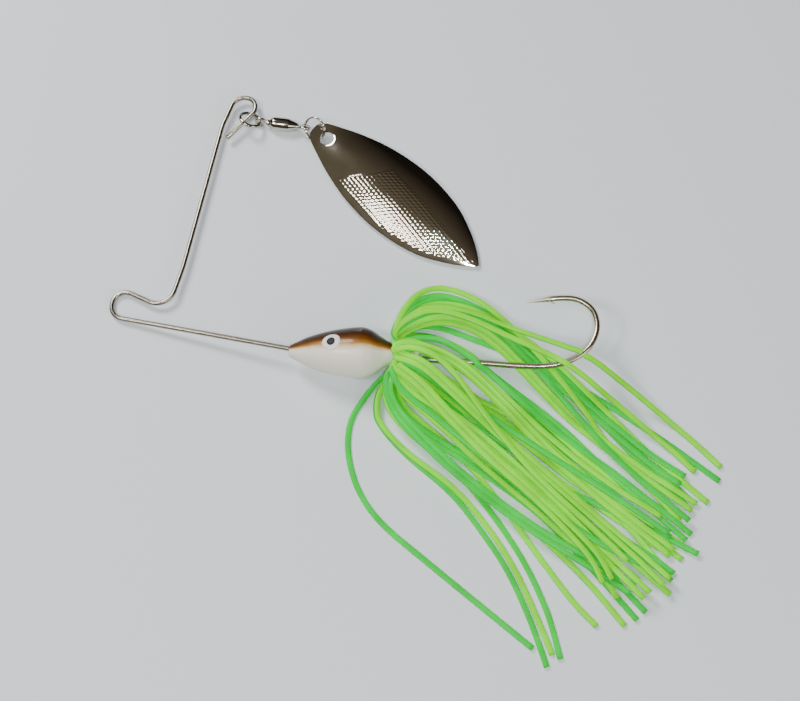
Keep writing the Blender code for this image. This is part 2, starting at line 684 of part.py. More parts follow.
def cord(name, route, diameter, spacing, stuff):
    """A tube along a smooth route, its points a few diameters apart."""
    places = [Vector((x, y, z)) * MM + Vector((NOSE.x, NOSE.y, 0.0)) for x, y, z in route]
    rough = sum((b - a).length for a, b in zip(places, places[1:]))
    points = smooth(places, round(rough / (diameter * spacing)) + 1)
    data = bpy.data.curves.new(name, "CURVE")
    data.dimensions = "3D"
    data.bevel_depth = diameter / 2.0
    data.bevel_resolution = 2
    data.use_fill_caps = True
    line = data.splines.new("POLY")
    line.points.add(len(points) - 1)
    for spot, place in zip(line.points, points):
        spot.co = (*place, 1.0)
    data.materials.append(stuff)
    tube = bpy.data.objects.new(name, data)
    bpy.context.scene.collection.objects.link(tube)


def build():
    clear_scene()
    steel_wire = material("stainless wire", (0.42, 0.38, 0.34), 0.3, 1.0)
    hook_steel = material("bronzed hook steel", (0.34, 0.28, 0.23), 0.25, 1.0)
    nickel = material("polished nickel", (0.62, 0.58, 0.52), 0.12, 1.0)
    brass = material("brass", (0.72, 0.52, 0.25), 0.3, 1.0)
    paint = material("painted lead", (0.8, 0.74, 0.64), 0.15, 0.0)
    white = material("eye white", (0.86, 0.83, 0.82), 0.2, 0.0)
    black = material("eye black", (0.01, 0.01, 0.02), 0.2, 0.0)
    rubber = material("collar rubber", (0.2, 0.6, 0.12), 0.6, 0.0)
    green = material("green silicone", (0.1, 0.8, 0.12), 0.35, 0.0)
    chartreuse = material("chartreuse silicone", (0.5, 0.95, 0.06), 0.35, 0.0)

    plane = lure_plane()
    wire_path = wire_frame(plane, steel_wire)
    hook_path, hook_radii = hook(plane, hook_steel)
    lead_head(plane, paint, wire_path, hook_path, hook_radii)
    eyes(plane, white, black)
    skirt_collar(plane, rubber)

    front, shaft, rear, split_place, blade_place = ring_frames(plane)
    front_ring(front, nickel)
    swivel(shaft, rear, nickel, brass)
    split_ring(split_place, nickel)
    blade(blade_place, nickel)

    for number, (name, route) in enumerate(BUNDLES.items()):
        cord(name, route, BUNDLE_DIAMETER, 2.0, chartreuse if number % 2 else green)
    for number, (name, route) in enumerate(STRANDS.items()):
        cord(name, route, STRAND_DIAMETER, 2.6, green if number % 2 else chartreuse)


build()
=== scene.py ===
import json
import math
import random

import bmesh
import bpy
import numpy as np
from mathutils import Euler, Matrix, Vector


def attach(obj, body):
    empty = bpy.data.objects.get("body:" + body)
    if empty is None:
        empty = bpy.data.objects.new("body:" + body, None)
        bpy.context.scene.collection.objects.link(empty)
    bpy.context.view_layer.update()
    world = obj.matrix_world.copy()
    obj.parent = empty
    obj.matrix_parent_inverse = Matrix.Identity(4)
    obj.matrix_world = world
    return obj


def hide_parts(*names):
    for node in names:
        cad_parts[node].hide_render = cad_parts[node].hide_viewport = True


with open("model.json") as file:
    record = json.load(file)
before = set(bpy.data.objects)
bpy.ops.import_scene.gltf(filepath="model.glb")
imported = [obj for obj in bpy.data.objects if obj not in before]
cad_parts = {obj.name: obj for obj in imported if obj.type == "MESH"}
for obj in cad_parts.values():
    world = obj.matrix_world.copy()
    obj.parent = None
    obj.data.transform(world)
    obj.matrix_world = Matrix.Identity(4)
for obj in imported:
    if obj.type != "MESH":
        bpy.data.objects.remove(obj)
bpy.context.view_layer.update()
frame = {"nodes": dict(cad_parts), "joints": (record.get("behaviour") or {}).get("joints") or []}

MM = 0.001

# ---------------------------------------------------------------------------------------------
# The camera looks down on the lure from the side of its belly, a little under half a metre off.
# It is a plain lens with no shift and no depth of field.
CAMERA_DISTANCE = 410.6 * MM
CAMERA_HEADING = math.radians(3.2)
CAMERA_HEIGHT = math.radians(70.0)
LOOK_AT = Vector((10.74, -25.44, -0.1)) * MM

camera_data = bpy.data.cameras.new("camera")
camera_data.lens = 85.0
camera_data.sensor_width = 36.0
camera_data.clip_start = 0.01
camera_data.clip_end = 20.0
camera = bpy.data.objects.new("camera", camera_data)
bpy.context.scene.collection.objects.link(camera)
toward_camera = Vector((math.sin(CAMERA_HEADING) * math.cos(CAMERA_HEIGHT),
                        -math.cos(CAMERA_HEADING) * math.cos(CAMERA_HEIGHT),
                        math.sin(CAMERA_HEIGHT)))
camera.location = LOOK_AT + toward_camera * CAMERA_DISTANCE
camera.rotation_euler = (-toward_camera).to_track_quat("-Z", "Y").to_euler()
bpy.context.scene.camera = camera

# ---------------------------------------------------------------------------------------------
# Where the lure lies: the nose of the head, and the tilted plane that the wire and hook share.
# The skirt's strands leave the collar on the neck, behind the head.
NOSE = Vector((-12.76, -28.52, 4.27)) * MM
TAIL_RISE = math.radians(4.86)
ARM_DROP = math.radians(1.15)
lure_plane = Matrix.Translation(NOSE) @ Euler((-ARM_DROP, -TAIL_RISE, 0.0)).to_matrix().to_4x4()


def smooth_line(points, count):
    """Evenly spaced points on a smooth curve through a few chosen ones."""
    ends = [points[0] * 2.0 - points[1]] + list(points) + [points[-1] * 2.0 - points[-2]]
    fine = []
    for index in range(1, len(ends) - 2):
        a, b, c, d = ends[index - 1:index + 3]
        for step in range(24):
            t = step / 24.0
            fine.append((b * 2.0 + (c - a) * t + (a * 2.0 - b * 5.0 + c * 4.0 - d) * t * t
                         + (b * 3.0 - a - c * 3.0 + d) * t ** 3) * 0.5)
    fine.append(ends[-2])
    fine = np.array([tuple(point) for point in fine])
    along = np.concatenate([[0.0], np.cumsum(np.linalg.norm(np.diff(fine, axis=0), axis=1))])
    wanted = np.linspace(0.0, along[-1], count)
    return np.stack([np.interp(wanted, along, fine[:, k]) for k in range(3)], axis=1)


def loft(name, stations, closed=False):
    """A mesh skinned over rings of points, its ends filled, with a UV map: u round, v along."""
    rings = len(stations)
    sides = len(stations[0])
    work = bmesh.new()
    uv = work.loops.layers.uv.new("UVMap")
    loops = [[work.verts.new(point) for point in ring] for ring in stations]
    centres = [sum((Vector(point) for point in ring), Vector()) / sides for ring in stations]
    along = [0.0]
    for near, far in zip(centres, centres[1:]):
        along.append(along[-1] + (far - near).length)
    for step in range(rings if closed else rings - 1):
        near = loops[step]
        far = loops[(step + 1) % rings]
        ahead = along[step + 1] if step + 1 < rings else along[-1] + (centres[0] - centres[-1]).length
        for side in range(sides):
            after = (side + 1) % sides
            face = work.faces.new((near[side], near[after], far[after], far[side]))
            face.smooth = True
            spots = ((side, along[step]), (side + 1, along[step]), (side + 1, ahead), (side, ahead))
            for corner, (u, v) in zip(face.loops, spots):
                corner[uv].uv = (u / sides, v)
    if not closed:
        work.faces.new(list(reversed(loops[0])))
        work.faces.new(loops[-1])
    bmesh.ops.recalc_face_normals(work, faces=work.faces)
    mesh = bpy.data.meshes.new(name)
    work.to_mesh(mesh)
    work.free()
    piece = bpy.data.objects.new(name, mesh)
    bpy.context.scene.collection.objects.link(piece)
    return piece


def shader_nodes(name):
    made = bpy.data.materials.new(name)
    made.use_nodes = True
    tree = made.node_tree
    return made, tree.nodes, tree.links, tree.nodes["Principled BSDF"]


# ---------------------------------------------------------------------------------------------
# The skirt: soft silicone strands cut from a sheet, chartreuse and fluorescent green, gripped at
# one end by the collar. They flare forward off the neck, arch back and lie on each other and on
# the table. Some are still joined side by side, as they come off the sheet.
ROUTES = {
    "skirt_bundle_far_loop": [
        (23.0, 4.8, 7.4), (25.8, 9.8, 6.3), (31.0, 12.8, 4.4), (38.0, 12.3, 3.6), (46.0, 8.0, 3.5),
        (56.0, 0.0, 3.5), (66.0, -9.5, 3.0), (76.0, -19.0, 2.2), (86.5, -27.5, 1.8)],
    "skirt_bundle_over_shank": [
        (22.5, 2.6, 10.2), (26.5, 5.8, 10.8), (33.0, 6.8, 8.6), (40.5, 4.2, 5.6), (49.5, -2.5, 3.4),
        (60.0, -11.5, 2.2), (71.0, -21.0, 1.8), (84.5, -31.0, 1.8)],
    "skirt_bundle_top": [
        (22.5, -1.0, 10.8), (27.5, -2.0, 12.4), (34.5, -6.0, 11.0), (43.5, -13.0, 7.4),
        (54.5, -22.0, 5.0), (67.0, -31.4, 4.2), (80.0, -41.0, 3.7)],
    "skirt_bundle_near_top": [
        (22.4, -4.4, 9.3), (26.2, -7.8, 9.9), (33.0, -12.2, 8.6), (43.0, -19.5, 6.4),
        (55.0, -28.8, 5.2), (67.0, -38.5, 4.9), (77.0, -46.0, 4.6)],
    "skirt_bundle_near": [
        (21.6, -5.6, 5.6), (23.4, -9.9, 5.6), (30.0, -15.6, 4.4), (41.0, -24.2, 3.4),
        (54.0, -34.0, 2.8), (66.0, -43.5, 2.2), (74.0, -51.0, 1.8)],
    "skirt_bundle_near_low": [
        (22.5, -3.2, 2.3), (26.5, -6.5, 1.8), (33.0, -11.0, 1.8), (43.5, -18.5, 1.8),
        (56.0, -27.5, 1.8), (69.0, -37.0, 1.8), (79.0, -44.0, 1.8)],
    "skirt_bundle_low": [
        (23.5, 0.4, 1.8), (29.0, -2.6, 1.8), (37.5, -8.0, 1.8), (48.5, -15.0, 1.8),
        (60.5, -23.5, 1.8), (73.0, -32.0, 1.8), (83.0, -39.3, 1.8)],
    "skirt_bundle_far_low": [
        (22.9, 4.2, 3.1), (28.5, 5.0, 2.0), (36.0, 1.6, 1.8), (46.0, -6.0, 1.8),
        (58.0, -15.2, 1.8), (70.5, -25.6, 1.8), (81.3, -33.7, 1.8)],
    "skirt_strand_over_hook": [
        (24.0, 6.4, 13.3), (30.0, 9.4, 12.6), (38.0, 8.5, 12.0), (47.0, 5.6, 11.7), (56.0, 3.2, 11.4),
        (63.2, 0.9, 11.3), (70.0, -2.6, 8.6), (77.0, -6.6, 4.6), (85.0, -12.2, 1.4), (93.0, -19.6, 0.9)],
    "skirt_strand_under_hook": [
        (26.2, 8.2, 2.8), (32.0, 8.6, 1.1), (41.0, 6.0, 0.9), (52.0, 2.4, 0.9), (60.0, -1.6, 0.9),
        (70.0, -7.6, 0.9), (81.0, -14.8, 0.9), (92.5, -23.0, 0.9)],
    "skirt_strand_lone": [
        (18.9, -5.4, 3.2), (15.6, -9.2, 1.4), (13.3, -14.0, 0.9), (13.8, -21.0, 0.9), (17.0, -28.6, 0.9),
        (22.4, -35.2, 0.9), (32.0, -43.0, 0.9), (43.0, -52.0, 0.9), (54.0, -61.0, 0.9)],
    "skirt_strand_pair": [
        (19.0, -8.2, 4.2), (19.4, -13.6, 1.4), (26.0, -20.4, 0.9), (36.0, -27.6, 0.9), (42.4, -35.2, 0.9),
        (48.2, -44.6, 0.9), (53.0, -55.0, 0.9), (57.2, -64.4, 0.9)],
    "skirt_strand_near_stray": [
        (24.2, -9.9, 1.6), (29.0, -14.8, 0.9), (36.0, -21.8, 0.9), (44.0, -31.0, 0.9),
        (51.0, -42.0, 0.9), (56.6, -53.0, 0.9), (60.4, -62.4, 0.9)],
}
# For each route, its strands: how many lie joined, how far each is aside of the route at the
# loop behind the head, in the middle and at the tip, and how far its tip reaches past it.
STRANDS = {
    "skirt_bundle_far_loop": [(2, 2.2, 1.0, -1.0, 0.0), (1, 0.8, 2.6, 1.5, 3.0), (2, -1.2, -1.6, 2.0, -4.0),
                              (1, 3.4, -0.6, -4.0, 1.0)],
    "skirt_bundle_over_shank": [(2, 0.0, 2.2, 2.8, 1.0), (1, -4.6, -3.6, -2.4, 4.0),
                                (2, -8.0, -6.4, -4.4, -3.0), (1, 3.0, 2.6, 0.6, 2.0)],
    "skirt_bundle_top": [(2, 3.0, 4.2, 3.6, 1.0), (1, -2.2, 1.6, 5.4, -2.0), (2, -0.6, -1.6, -2.4, 4.0),
                         (1, 2.8, -3.0, -4.4, -5.0)],
    "skirt_bundle_near_top": [(1, 1.6, 3.4, 5.0, 4.0), (2, 0.0, 0.4, -1.4, 2.0), (1, -2.4, -2.4, 2.6, -3.0),
                              (2, 2.2, -1.8, -5.0, -6.0)],
    "skirt_bundle_near": [(2, -0.4, 1.8, 1.4, 3.0), (1, -2.6, -2.2, -3.4, 2.0), (1, 1.8, 3.2, -1.4, -3.0),
                          (2, -1.6, -3.6, 2.8, -2.0)],
    "skirt_bundle_near_low": [(2, -1.0, -1.8, -3.4, -2.0), (1, 1.0, 1.8, 2.6, 3.0),
                              (1, -2.0, 1.2, -1.0, 5.0), (1, 1.6, -0.6, 0.8, -5.0)],
    "skirt_bundle_low": [(2, 1.4, 1.2, 1.0, 2.0), (1, -1.4, -1.4, -1.2, -3.0), (1, 0.0, -3.0, 3.0, 4.0),
                         (1, 0.8, 3.2, -3.0, -1.0)],
    "skirt_bundle_far_low": [(2, -0.8, -1.4, -1.6, 2.0), (1, 1.4, 1.4, 2.4, -2.0), (1, 2.2, 3.0, 0.0, 5.0)],
    "skirt_strand_over_hook": [(1, 0.0, 0.0, 0.0, 0.0), (1, -1.6, -4.6, -4.2, -3.0)],
    "skirt_strand_under_hook": [(1, 0.0, 0.0, 0.0, 0.0)],
    "skirt_strand_lone": [(1, 0.0, 0.0, 0.0, 0.0)],
    "skirt_strand_pair": [(1, 0.0, 0.0, 0.0, 0.0), (1, 0.9, 1.3, 1.5, -2.0)],
    "skirt_strand_near_stray": [(1, 0.0, 0.0, 0.0, 0.0), (1, 1.6, 3.0, 9.0, -4.0)],
}
STRAND_WIDTH = 1.25 * MM
STRAND_THICKNESS = 0.6 * MM
NECK_X = 22.9 * MM
POINT_SPACING = 1.0 * MM
CROSSING_X = 44.0 * MM
CROSSING_RUN = 11.0 * MM
CROSSING_RISE = 4.8 * MM
dice = random.Random(7)


def strand_start(route):
    """Points in the collar and at its mouth, on the side of the neck that the route leaves from."""
    local = lure_plane.inverted() @ route[0]
    angle = math.atan2(local.z, local.y) + dice.uniform(-0.3, 0.3)
    start = []
    for x, radius in ((NECK_X + 1.6 * MM, 2.3 * MM), (NECK_X, 2.7 * MM), (NECK_X - 0.9 * MM, 3.5 * MM)):
        place = Vector((x, radius * math.cos(angle), radius * math.sin(angle)))
        start.append(lure_plane @ place)
    return start


def strand_line(route, aside, reach):
    """One strand's line: the bundle's route, moved aside by amounts that change along it."""
    places = [Vector((x * MM + NOSE.x, y * MM + NOSE.y, z * MM)) for x, y, z in route]
    wander = (dice.uniform(0.3, 1.3), dice.uniform(0.0, 6.28), dice.uniform(5.0, 9.0))
    tip_way = (places[-1] - places[-2]).normalized()
    places[-1] = places[-1] + tip_way * reach * MM
    last = len(places) - 1
    line = []
    for index, place in enumerate(places):
        before = places[max(index - 1, 0)]
        after = places[min(index + 1, last)]
        way = after - before
        left = Vector((-way.y, way.x, 0.0)).normalized()
        share = index / last
        if share < 0.25:
            shift = aside[0] * (0.35 + 2.6 * share)
        elif share < 0.6:
            shift = aside[0] + (aside[1] - aside[0]) * (share - 0.25) / 0.35
        else:
            shift = aside[1] + (aside[2] - aside[1]) * (share - 0.6) / 0.4
        shift += wander[0] * math.sin(wander[1] + wander[2] * share) * min(1.0, 3.0 * share)
        line.append(place + left * shift * MM)
    line = strand_start(places) + line[(1 if last > 4 and abs(aside[0]) > 3.0 else 0):]
    length = sum((b - a).length for a, b in zip(line, line[1:]))
    return smooth_line(line, round(length / POINT_SPACING) + 1)


strand_list = []
for node, plans in STRANDS.items():
    for order, (joined, loop, middle, tip, reach) in enumerate(plans):
        line = strand_line(ROUTES[node], (loop, middle, tip), reach)
        if node.startswith("skirt_bundle"):
            line[:, 2] += (order - 1) * 0.9 * MM * np.minimum(1.0, np.arange(len(line)) / 12.0)
        if node == "skirt_bundle_over_shank":
            # These cross over the hook's shank.
            line[:, 2] += CROSSING_RISE * np.exp(-((line[:, 0] - NOSE.x - CROSSING_X) / CROSSING_RUN) ** 2)
        strand_list.append({"node": node, "joined": joined, "line": line})

# The groups of strands from the lowest to the highest: each strand lies over or under another
# along all its length.
LAYERS = ["skirt_strand_under_hook", "skirt_strand_near_stray", "skirt_strand_pair", "skirt_strand_lone",
          "skirt_bundle_low", "skirt_bundle_far_low", "skirt_bundle_near_low", "skirt_bundle_far_loop",
          "skirt_bundle_over_shank", "skirt_bundle_near", "skirt_bundle_near_top", "skirt_bundle_top",
          "skirt_strand_over_hook"]
layer = np.array([LAYERS.index(strand["node"]) + 0.01 * k for k, strand in enumerate(strand_list)])

# The strands settle: each point sinks a little, and is held up by the table, the head, the hook
# and the other strands, while its place in plan stays near the line it was laid in.
start_of = np.cumsum([0] + [len(strand["line"]) for strand in strand_list])
owner = np.concatenate([np.full(len(s["line"]), k) for k, s in enumerate(strand_list)])
spot = np.concatenate([np.arange(len(s["line"])) for s in strand_list])
half_width = np.array([0.5 * STRAND_WIDTH * s["joined"] for s in strand_list])[owner]
points = np.concatenate([s["line"] for s in strand_list])
laid = points.copy()
free = np.clip((spot - 2.0) / 6.0, 0.0, 1.0)
inner = (spot > 0) & (spot < np.array([len(s["line"]) - 1 for s in strand_list])[owner])
UPRIGHT_GAP = 0.68 * MM
FLOOR_GAP = 0.34 * MM
HOOK_SHANK = [(22.0, -0.9), (38.0, -1.5), (50.0, -2.1), (56.0, -1.85), (60.4, -0.4), (63.9, 2.5),
              (65.5, 6.6), (64.7, 10.7), (61.7, 13.2), (57.5, 13.65), (50.3, 12.5)]
shank_line = smooth_line([lure_plane @ (Vector((x, y, 0.0)) * MM) for x, y in HOOK_SHANK], 140)
SHANK_GAP = 0.98 * MM
to_plane = np.array(lure_plane.inverted())
from_plane = np.array(lure_plane)
HEAD_SHAPE = [(0.0, 1.35), (1.6, 2.1), (4.0, 3.2), (7.5, 4.3), (11.0, 5.05), (14.5, 5.5), (16.2, 5.45),
              (17.8, 4.85), (19.3, 3.85), (20.8, 2.85), (22.5, 2.05), (23.0, 1.6)]
head_x = np.array([x for x, radius in HEAD_SHAPE]) * MM
head_r = np.array([radius for x, radius in HEAD_SHAPE]) * MM


def close_pairs(places):
    """Pairs of points of different strands, or far apart on one, that are near in plan."""
    firsts = []
    seconds = []
    for begin in range(0, len(places), 400):
        rows = places[begin:begin + 400]
        near = np.abs(rows[:, None, 0] - places[None, :, 0]) < 3.2 * MM
        near &= np.abs(rows[:, None, 1] - places[None, :, 1]) < 3.2 * MM
        near &= np.abs(rows[:, None, 2] - places[None, :, 2]) < 2.2 * MM
        first, second = np.nonzero(near)
        first = first + begin
        keep = second > first
        same = owner[first] == owner[second]
        keep &= ~same | (np.abs(spot[first] - spot[second]) > 6)
        firsts.append(first[keep])
        seconds.append(second[keep])
    return np.concatenate(firsts), np.concatenate(seconds)


SETTLING_STEPS = 170
PAIRS_EVERY = 8
SINK = 0.035 * MM
HOLD, HOLD_WAYS = 0.03, np.array([2.0, 2.0, 0.6])
SPRING, SPRING_WAYS = 0.5, np.array([0.3, 0.3, 0.9])
LIFT_LIMIT = 0.4 * MM
HEAD_GAP = 0.35 * MM
COLLAR_FROM, COLLAR_TO, COLLAR_OUTER = 23.0 * MM, 26.6 * MM, 3.1 * MM
COLLAR_SPOTS = 14
for step in range(SETTLING_STEPS):
    if step % PAIRS_EVERY == 0:
        first, second = close_pairs(points)
        reach_apart = (half_width[first] + half_width[second]) * 0.97
        above = np.where(owner[first] == owner[second], points[first, 2] >= points[second, 2],
                         layer[owner[first]] > layer[owner[second]])
        side = np.where(above, 1.0, -1.0)
    points[:, 2] -= SINK * free
    pull = HOLD * free[:, None]
    points += (laid - points) * pull * HOLD_WAYS
    middle = points.copy()
    middle[1:-1] = (points[:-2] + points[2:]) * 0.5
    bend = np.where(inner, SPRING * free, 0.0)[:, None]
    points += (middle - points) * bend * SPRING_WAYS
    flat = points[first, :2] - points[second, :2]
    overlap = 1.0 - (flat ** 2).sum(axis=1) / reach_apart ** 2
    touching = overlap > 0.0
    need = UPRIGHT_GAP * np.sqrt(np.where(touching, overlap, 0.0))
    push = np.where(touching, np.maximum(0.0, need - side * (points[first, 2] - points[second, 2])), 0.0)
    push = np.minimum(push, LIFT_LIMIT) * 0.5 * side
    total = len(points)
    count = np.bincount(first, touching, total) + np.bincount(second, touching, total)
    count = np.maximum(1.0, count)
    lift = np.bincount(first, push, total) - np.bincount(second, push, total)
    points[:, 2] += lift * free / np.sqrt(count)
    gap = points[:, None, :] - shank_line[None, :, :]
    far = np.linalg.norm(gap, axis=2)
    nearest = far.argmin(axis=1)
    depth = far[np.arange(len(points)), nearest]
    inside = depth < SHANK_GAP
    away = gap[np.arange(len(points)), nearest] / np.maximum(depth, 1e-9)[:, None]
    points[inside] += away[inside] * (SHANK_GAP - depth[inside])[:, None]
    local = points @ to_plane[:3, :3].T + to_plane[:3, 3]
    radius = np.hypot(local[:, 1], local[:, 2])
    want = np.interp(local[:, 0], head_x, head_r, left=0.0, right=0.0) + HEAD_GAP
    want = np.where((local[:, 0] > COLLAR_FROM) & (local[:, 0] < COLLAR_TO), COLLAR_OUTER, want)
    inside = (radius < want) & (local[:, 0] > 0.0) & (local[:, 0] < 27.0 * MM) & (spot > 2)
    local[inside, 1:] *= (want / np.maximum(radius, 1e-6))[inside, None]
    points[inside] = (local @ from_plane[:3, :3].T + from_plane[:3, 3])[inside]
    points[:, 2] = np.maximum(points[:, 2], FLOOR_GAP)
# Silicone is too springy to fold at the collar, so the bends there even out.
at_collar = inner & (spot < COLLAR_SPOTS)
for step in range(8):
    middle = points.copy()
    middle[1:-1] = (points[:-2] + points[2:]) * 0.5
    points[at_collar] += (middle - points)[at_collar] * 0.5


def noise(nodes, links, where, scale, detail=2.0):
    """A noise texture over the given coordinates."""
    grain = nodes.new("ShaderNodeTexNoise")
    grain.inputs["Scale"].default_value = scale
    grain.inputs["Detail"].default_value = detail
    links.new(where, grain.inputs["Vector"])
    return grain.outputs["Fac"]


def ramp(nodes, links, value, stops):
    """A colour that runs through stops of (value, colour)."""
    made = nodes.new("ShaderNodeValToRGB")
    elements = made.color_ramp.elements
    for number, (position, colour) in enumerate(stops):
        stop = elements[number] if number < 2 else elements.new(position)
        stop.position = position
        stop.color = (*colour, 1.0)
    links.new(value, made.inputs["Fac"])
    return made.outputs["Color"]


def roughened(nodes, links, shader, height, strength, distance):
    """Gives a shader a fine relief."""
    bump = nodes.new("ShaderNodeBump")
    bump.inputs["Strength"].default_value = strength
    bump.inputs["Distance"].default_value = distance
    links.new(height, bump.inputs["Height"])
    links.new(bump.outputs["Normal"], shader.inputs["Normal"])


def silicone(name, face, back):
    """Two thin layers of soft, slightly cloudy silicone, one colour on each face of the strand,
    finely ridged lengthwise by the cutting wheels."""
    made, nodes, links, shader = shader_nodes(name)
    place = nodes.new("ShaderNodeTexCoord")
    split = nodes.new("ShaderNodeSeparateXYZ")
    links.new(place.outputs["UV"], split.inputs["Vector"])
    layers = ramp(nodes, links, split.outputs["X"], [(0.1, back), (0.15, face), (0.475, face), (0.525, back)])
    shade = nodes.new("ShaderNodeMapRange")
    shade.inputs["From Min"].default_value = 0.3
    shade.inputs["From Max"].default_value = 0.7
    shade.inputs["To Min"].default_value = 0.8
    shade.inputs["To Max"].default_value = 1.06
    links.new(noise(nodes, links, place.outputs["Object"], 130.0, 3.0), shade.inputs["Value"])
    tone = nodes.new("ShaderNodeVectorMath")
    tone.operation = "SCALE"
    links.new(layers, tone.inputs[0])
    links.new(shade.outputs["Result"], tone.inputs["Scale"])
    links.new(tone.outputs["Vector"], shader.inputs["Base Color"])
    # Painted glow: the silicone's own colour is also given out as light, so strands and collar glow though
    # they are no lamps.
    links.new(tone.outputs["Vector"], shader.inputs["Emission Color"])
    shader.inputs["Emission Strength"].default_value = 0.14
    stretch = nodes.new("ShaderNodeMapping")
    stretch.inputs["Scale"].default_value = (26.0, 60.0, 1.0)
    links.new(place.outputs["UV"], stretch.inputs["Vector"])
    ridges = noise(nodes, links, stretch.outputs["Vector"], 1.0)
    roughened(nodes, links, shader, ridges, 0.3, 0.1 * MM)
    shader.inputs["Roughness"].default_value = 0.3
    shader.inputs["IOR"].default_value = 1.4
    shader.inputs["Specular IOR Level"].default_value = 0.18
    shader.inputs["Subsurface Weight"].default_value = 0.12
    shader.inputs["Subsurface Radius"].default_value = (0.6, 1.0, 0.1)
    shader.inputs["Subsurface Scale"].default_value = 0.6 * MM
    return made


CHARTREUSE = (0.22, 0.86, 0.0)
GREEN = (0.0, 0.62, 0.04)
chartreuse = silicone("silicone chartreuse face", CHARTREUSE, GREEN)
green = silicone("silicone green face", GREEN, CHARTREUSE)
green_through = silicone("silicone green", GREEN, GREEN)


def strand_side(line, half, twist, wave, phase):
    """Which way a strand's width lies at each point: level on the table, round the neck at the
    collar, and slowly turned along its length, but never with an edge under the table."""
    count = len(line)
    axis_point = lure_plane @ Vector((NECK_X, 0.0, 0.0))
    sides = []
    for index in range(count):
        way = Vector(line[min(index + 1, count - 1)]) - Vector(line[max(index - 1, 0)])
        way.normalize()
        share = min(1.0, index / 16.0)
        outward = Vector(line[index]) - axis_point
        outward.x = 0.0
        up = outward.normalized() * (1.0 - share) + Vector((0.0, 0.0, 1.0)) * share
        side = way.cross(up).normalized()
        turn = (twist + wave * math.sin(phase + 5.0 * index / count)) * min(1.0, index / 10.0)
        turn *= 1.0 - 0.6 * index / count
        side = Matrix.Rotation(turn, 3, way) @ side
        room = max(0.0, line[index][2] - 0.5 * STRAND_THICKNESS) / half
        if abs(side.z) > room:
            side.z = math.copysign(room, side.z)
            side.normalize()
        sides.append(side)
    return sides


def ribbon_rings(line, sides, shift):
    """Cross-sections of one flat strand: a rectangle with softened corners."""
    w = STRAND_WIDTH * 0.5 * 0.985
    t = STRAND_THICKNESS * 0.5
    outline = ((w, -0.45 * t), (w, 0.45 * t), (0.72 * w, t), (-0.72 * w, t),
               (-w, 0.45 * t), (-w, -0.45 * t), (-0.72 * w, -t), (0.72 * w, -t))
    rings = []
    count = len(line)
    for index in range(count):
        way = Vector(line[min(index + 1, count - 1)]) - Vector(line[max(index - 1, 0)])
        across = sides[index]
        normal = across.cross(way).normalized()
        centre = Vector(line[index]) + across * shift[index]
        rings.append([centre + across * u + normal * v for u, v in outline])
    return rings


for number, strand in enumerate(strand_list):
    line = points[start_of[number]:start_of[number + 1]]
    half = 0.5 * STRAND_WIDTH * strand["joined"]
    sides = strand_side(line, half, dice.uniform(-0.5, 0.5), dice.uniform(0.15, 0.6), dice.uniform(0.0, 6.0))
    name = strand["node"].replace("bundle", "strand") + "_" + str(number + 1)
    count = len(line)
    if strand["joined"] == 1:
        piece = loft(name, ribbon_rings(line, sides, [0.0] * count))
    else:
        parts_from = dice.uniform(0.55, 0.9)
        halves = []
        for way in (-1.0, 1.0):
            shift = []
            for index in range(count):
                apart = max(0.0, index / count - parts_from) * 1.6 * MM
                shift.append(way * (STRAND_WIDTH * 0.5 + apart))
            halves.append(loft(name, ribbon_rings(line, sides, shift)))
        bpy.ops.object.select_all(action="DESELECT")
        for half in halves:
            half.select_set(True)
        bpy.context.view_layer.objects.active = halves[0]
        bpy.ops.object.join()
        piece = halves[0]
    if strand["node"] in ("skirt_strand_lone", "skirt_strand_under_hook"):
        colour = green_through
    elif strand["node"] == "skirt_strand_over_hook":
        colour = chartreuse
    else:
        colour = (green, chartreuse, green, chartreuse, chartreuse, green, chartreuse)[number % 7]
    piece.data.materials.append(colour)
    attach(piece, "root")
    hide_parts(strand["node"])

# ---------------------------------------------------------------------------------------------
# The wire arm: one length of hard-drawn stainless wire, bent on pins, its end cast in the head.
# Drawing leaves it semi-bright, with fine lines along it.
WIRE_RADIUS = 0.51 * MM
WIRE_CORNERS = [(9.6, -3.0, 0.0), (9.6, 1.0, 1.1), (1.5, 0.3, 12.0), (-40.3, 7.15, 2.9), (-40.0, 14.3, 2.8),
                (-27.7, 8.9, 4.0), (-25.2, 19.5, 24.0), (-19.75, 54.3, 14.0), (-17.19, 62.19, 2.95),
                (-10.76, 60.29, 2.45), (-18.4, 51.2, 0.0)]


def bent_line(corners, step_angle):
    """A flat line through corners (x, y, bend radius), in millimetres, with round bends."""
    places = [Vector((x, y, 0.0)) for x, y, radius in corners]
    line = [places[0]]
    for index in range(1, len(corners) - 1):
        into = (places[index] - places[index - 1]).normalized()
        out = (places[index + 1] - places[index]).normalized()
        turn = into.angle(out)
        radius = corners[index][2]
        start = places[index] - into * radius * math.tan(turn / 2.0)
        inward = (out - into * out.dot(into)).normalized()
        centre = start + inward * radius
        steps = max(3, round(math.degrees(turn) / step_angle))
        for step in range(steps + 1):
            angle = turn * step / steps
            line.append(centre - inward * radius * math.cos(angle) + into * radius * math.sin(angle))
    line.append(places[-1])
    return [point * MM for point in line]


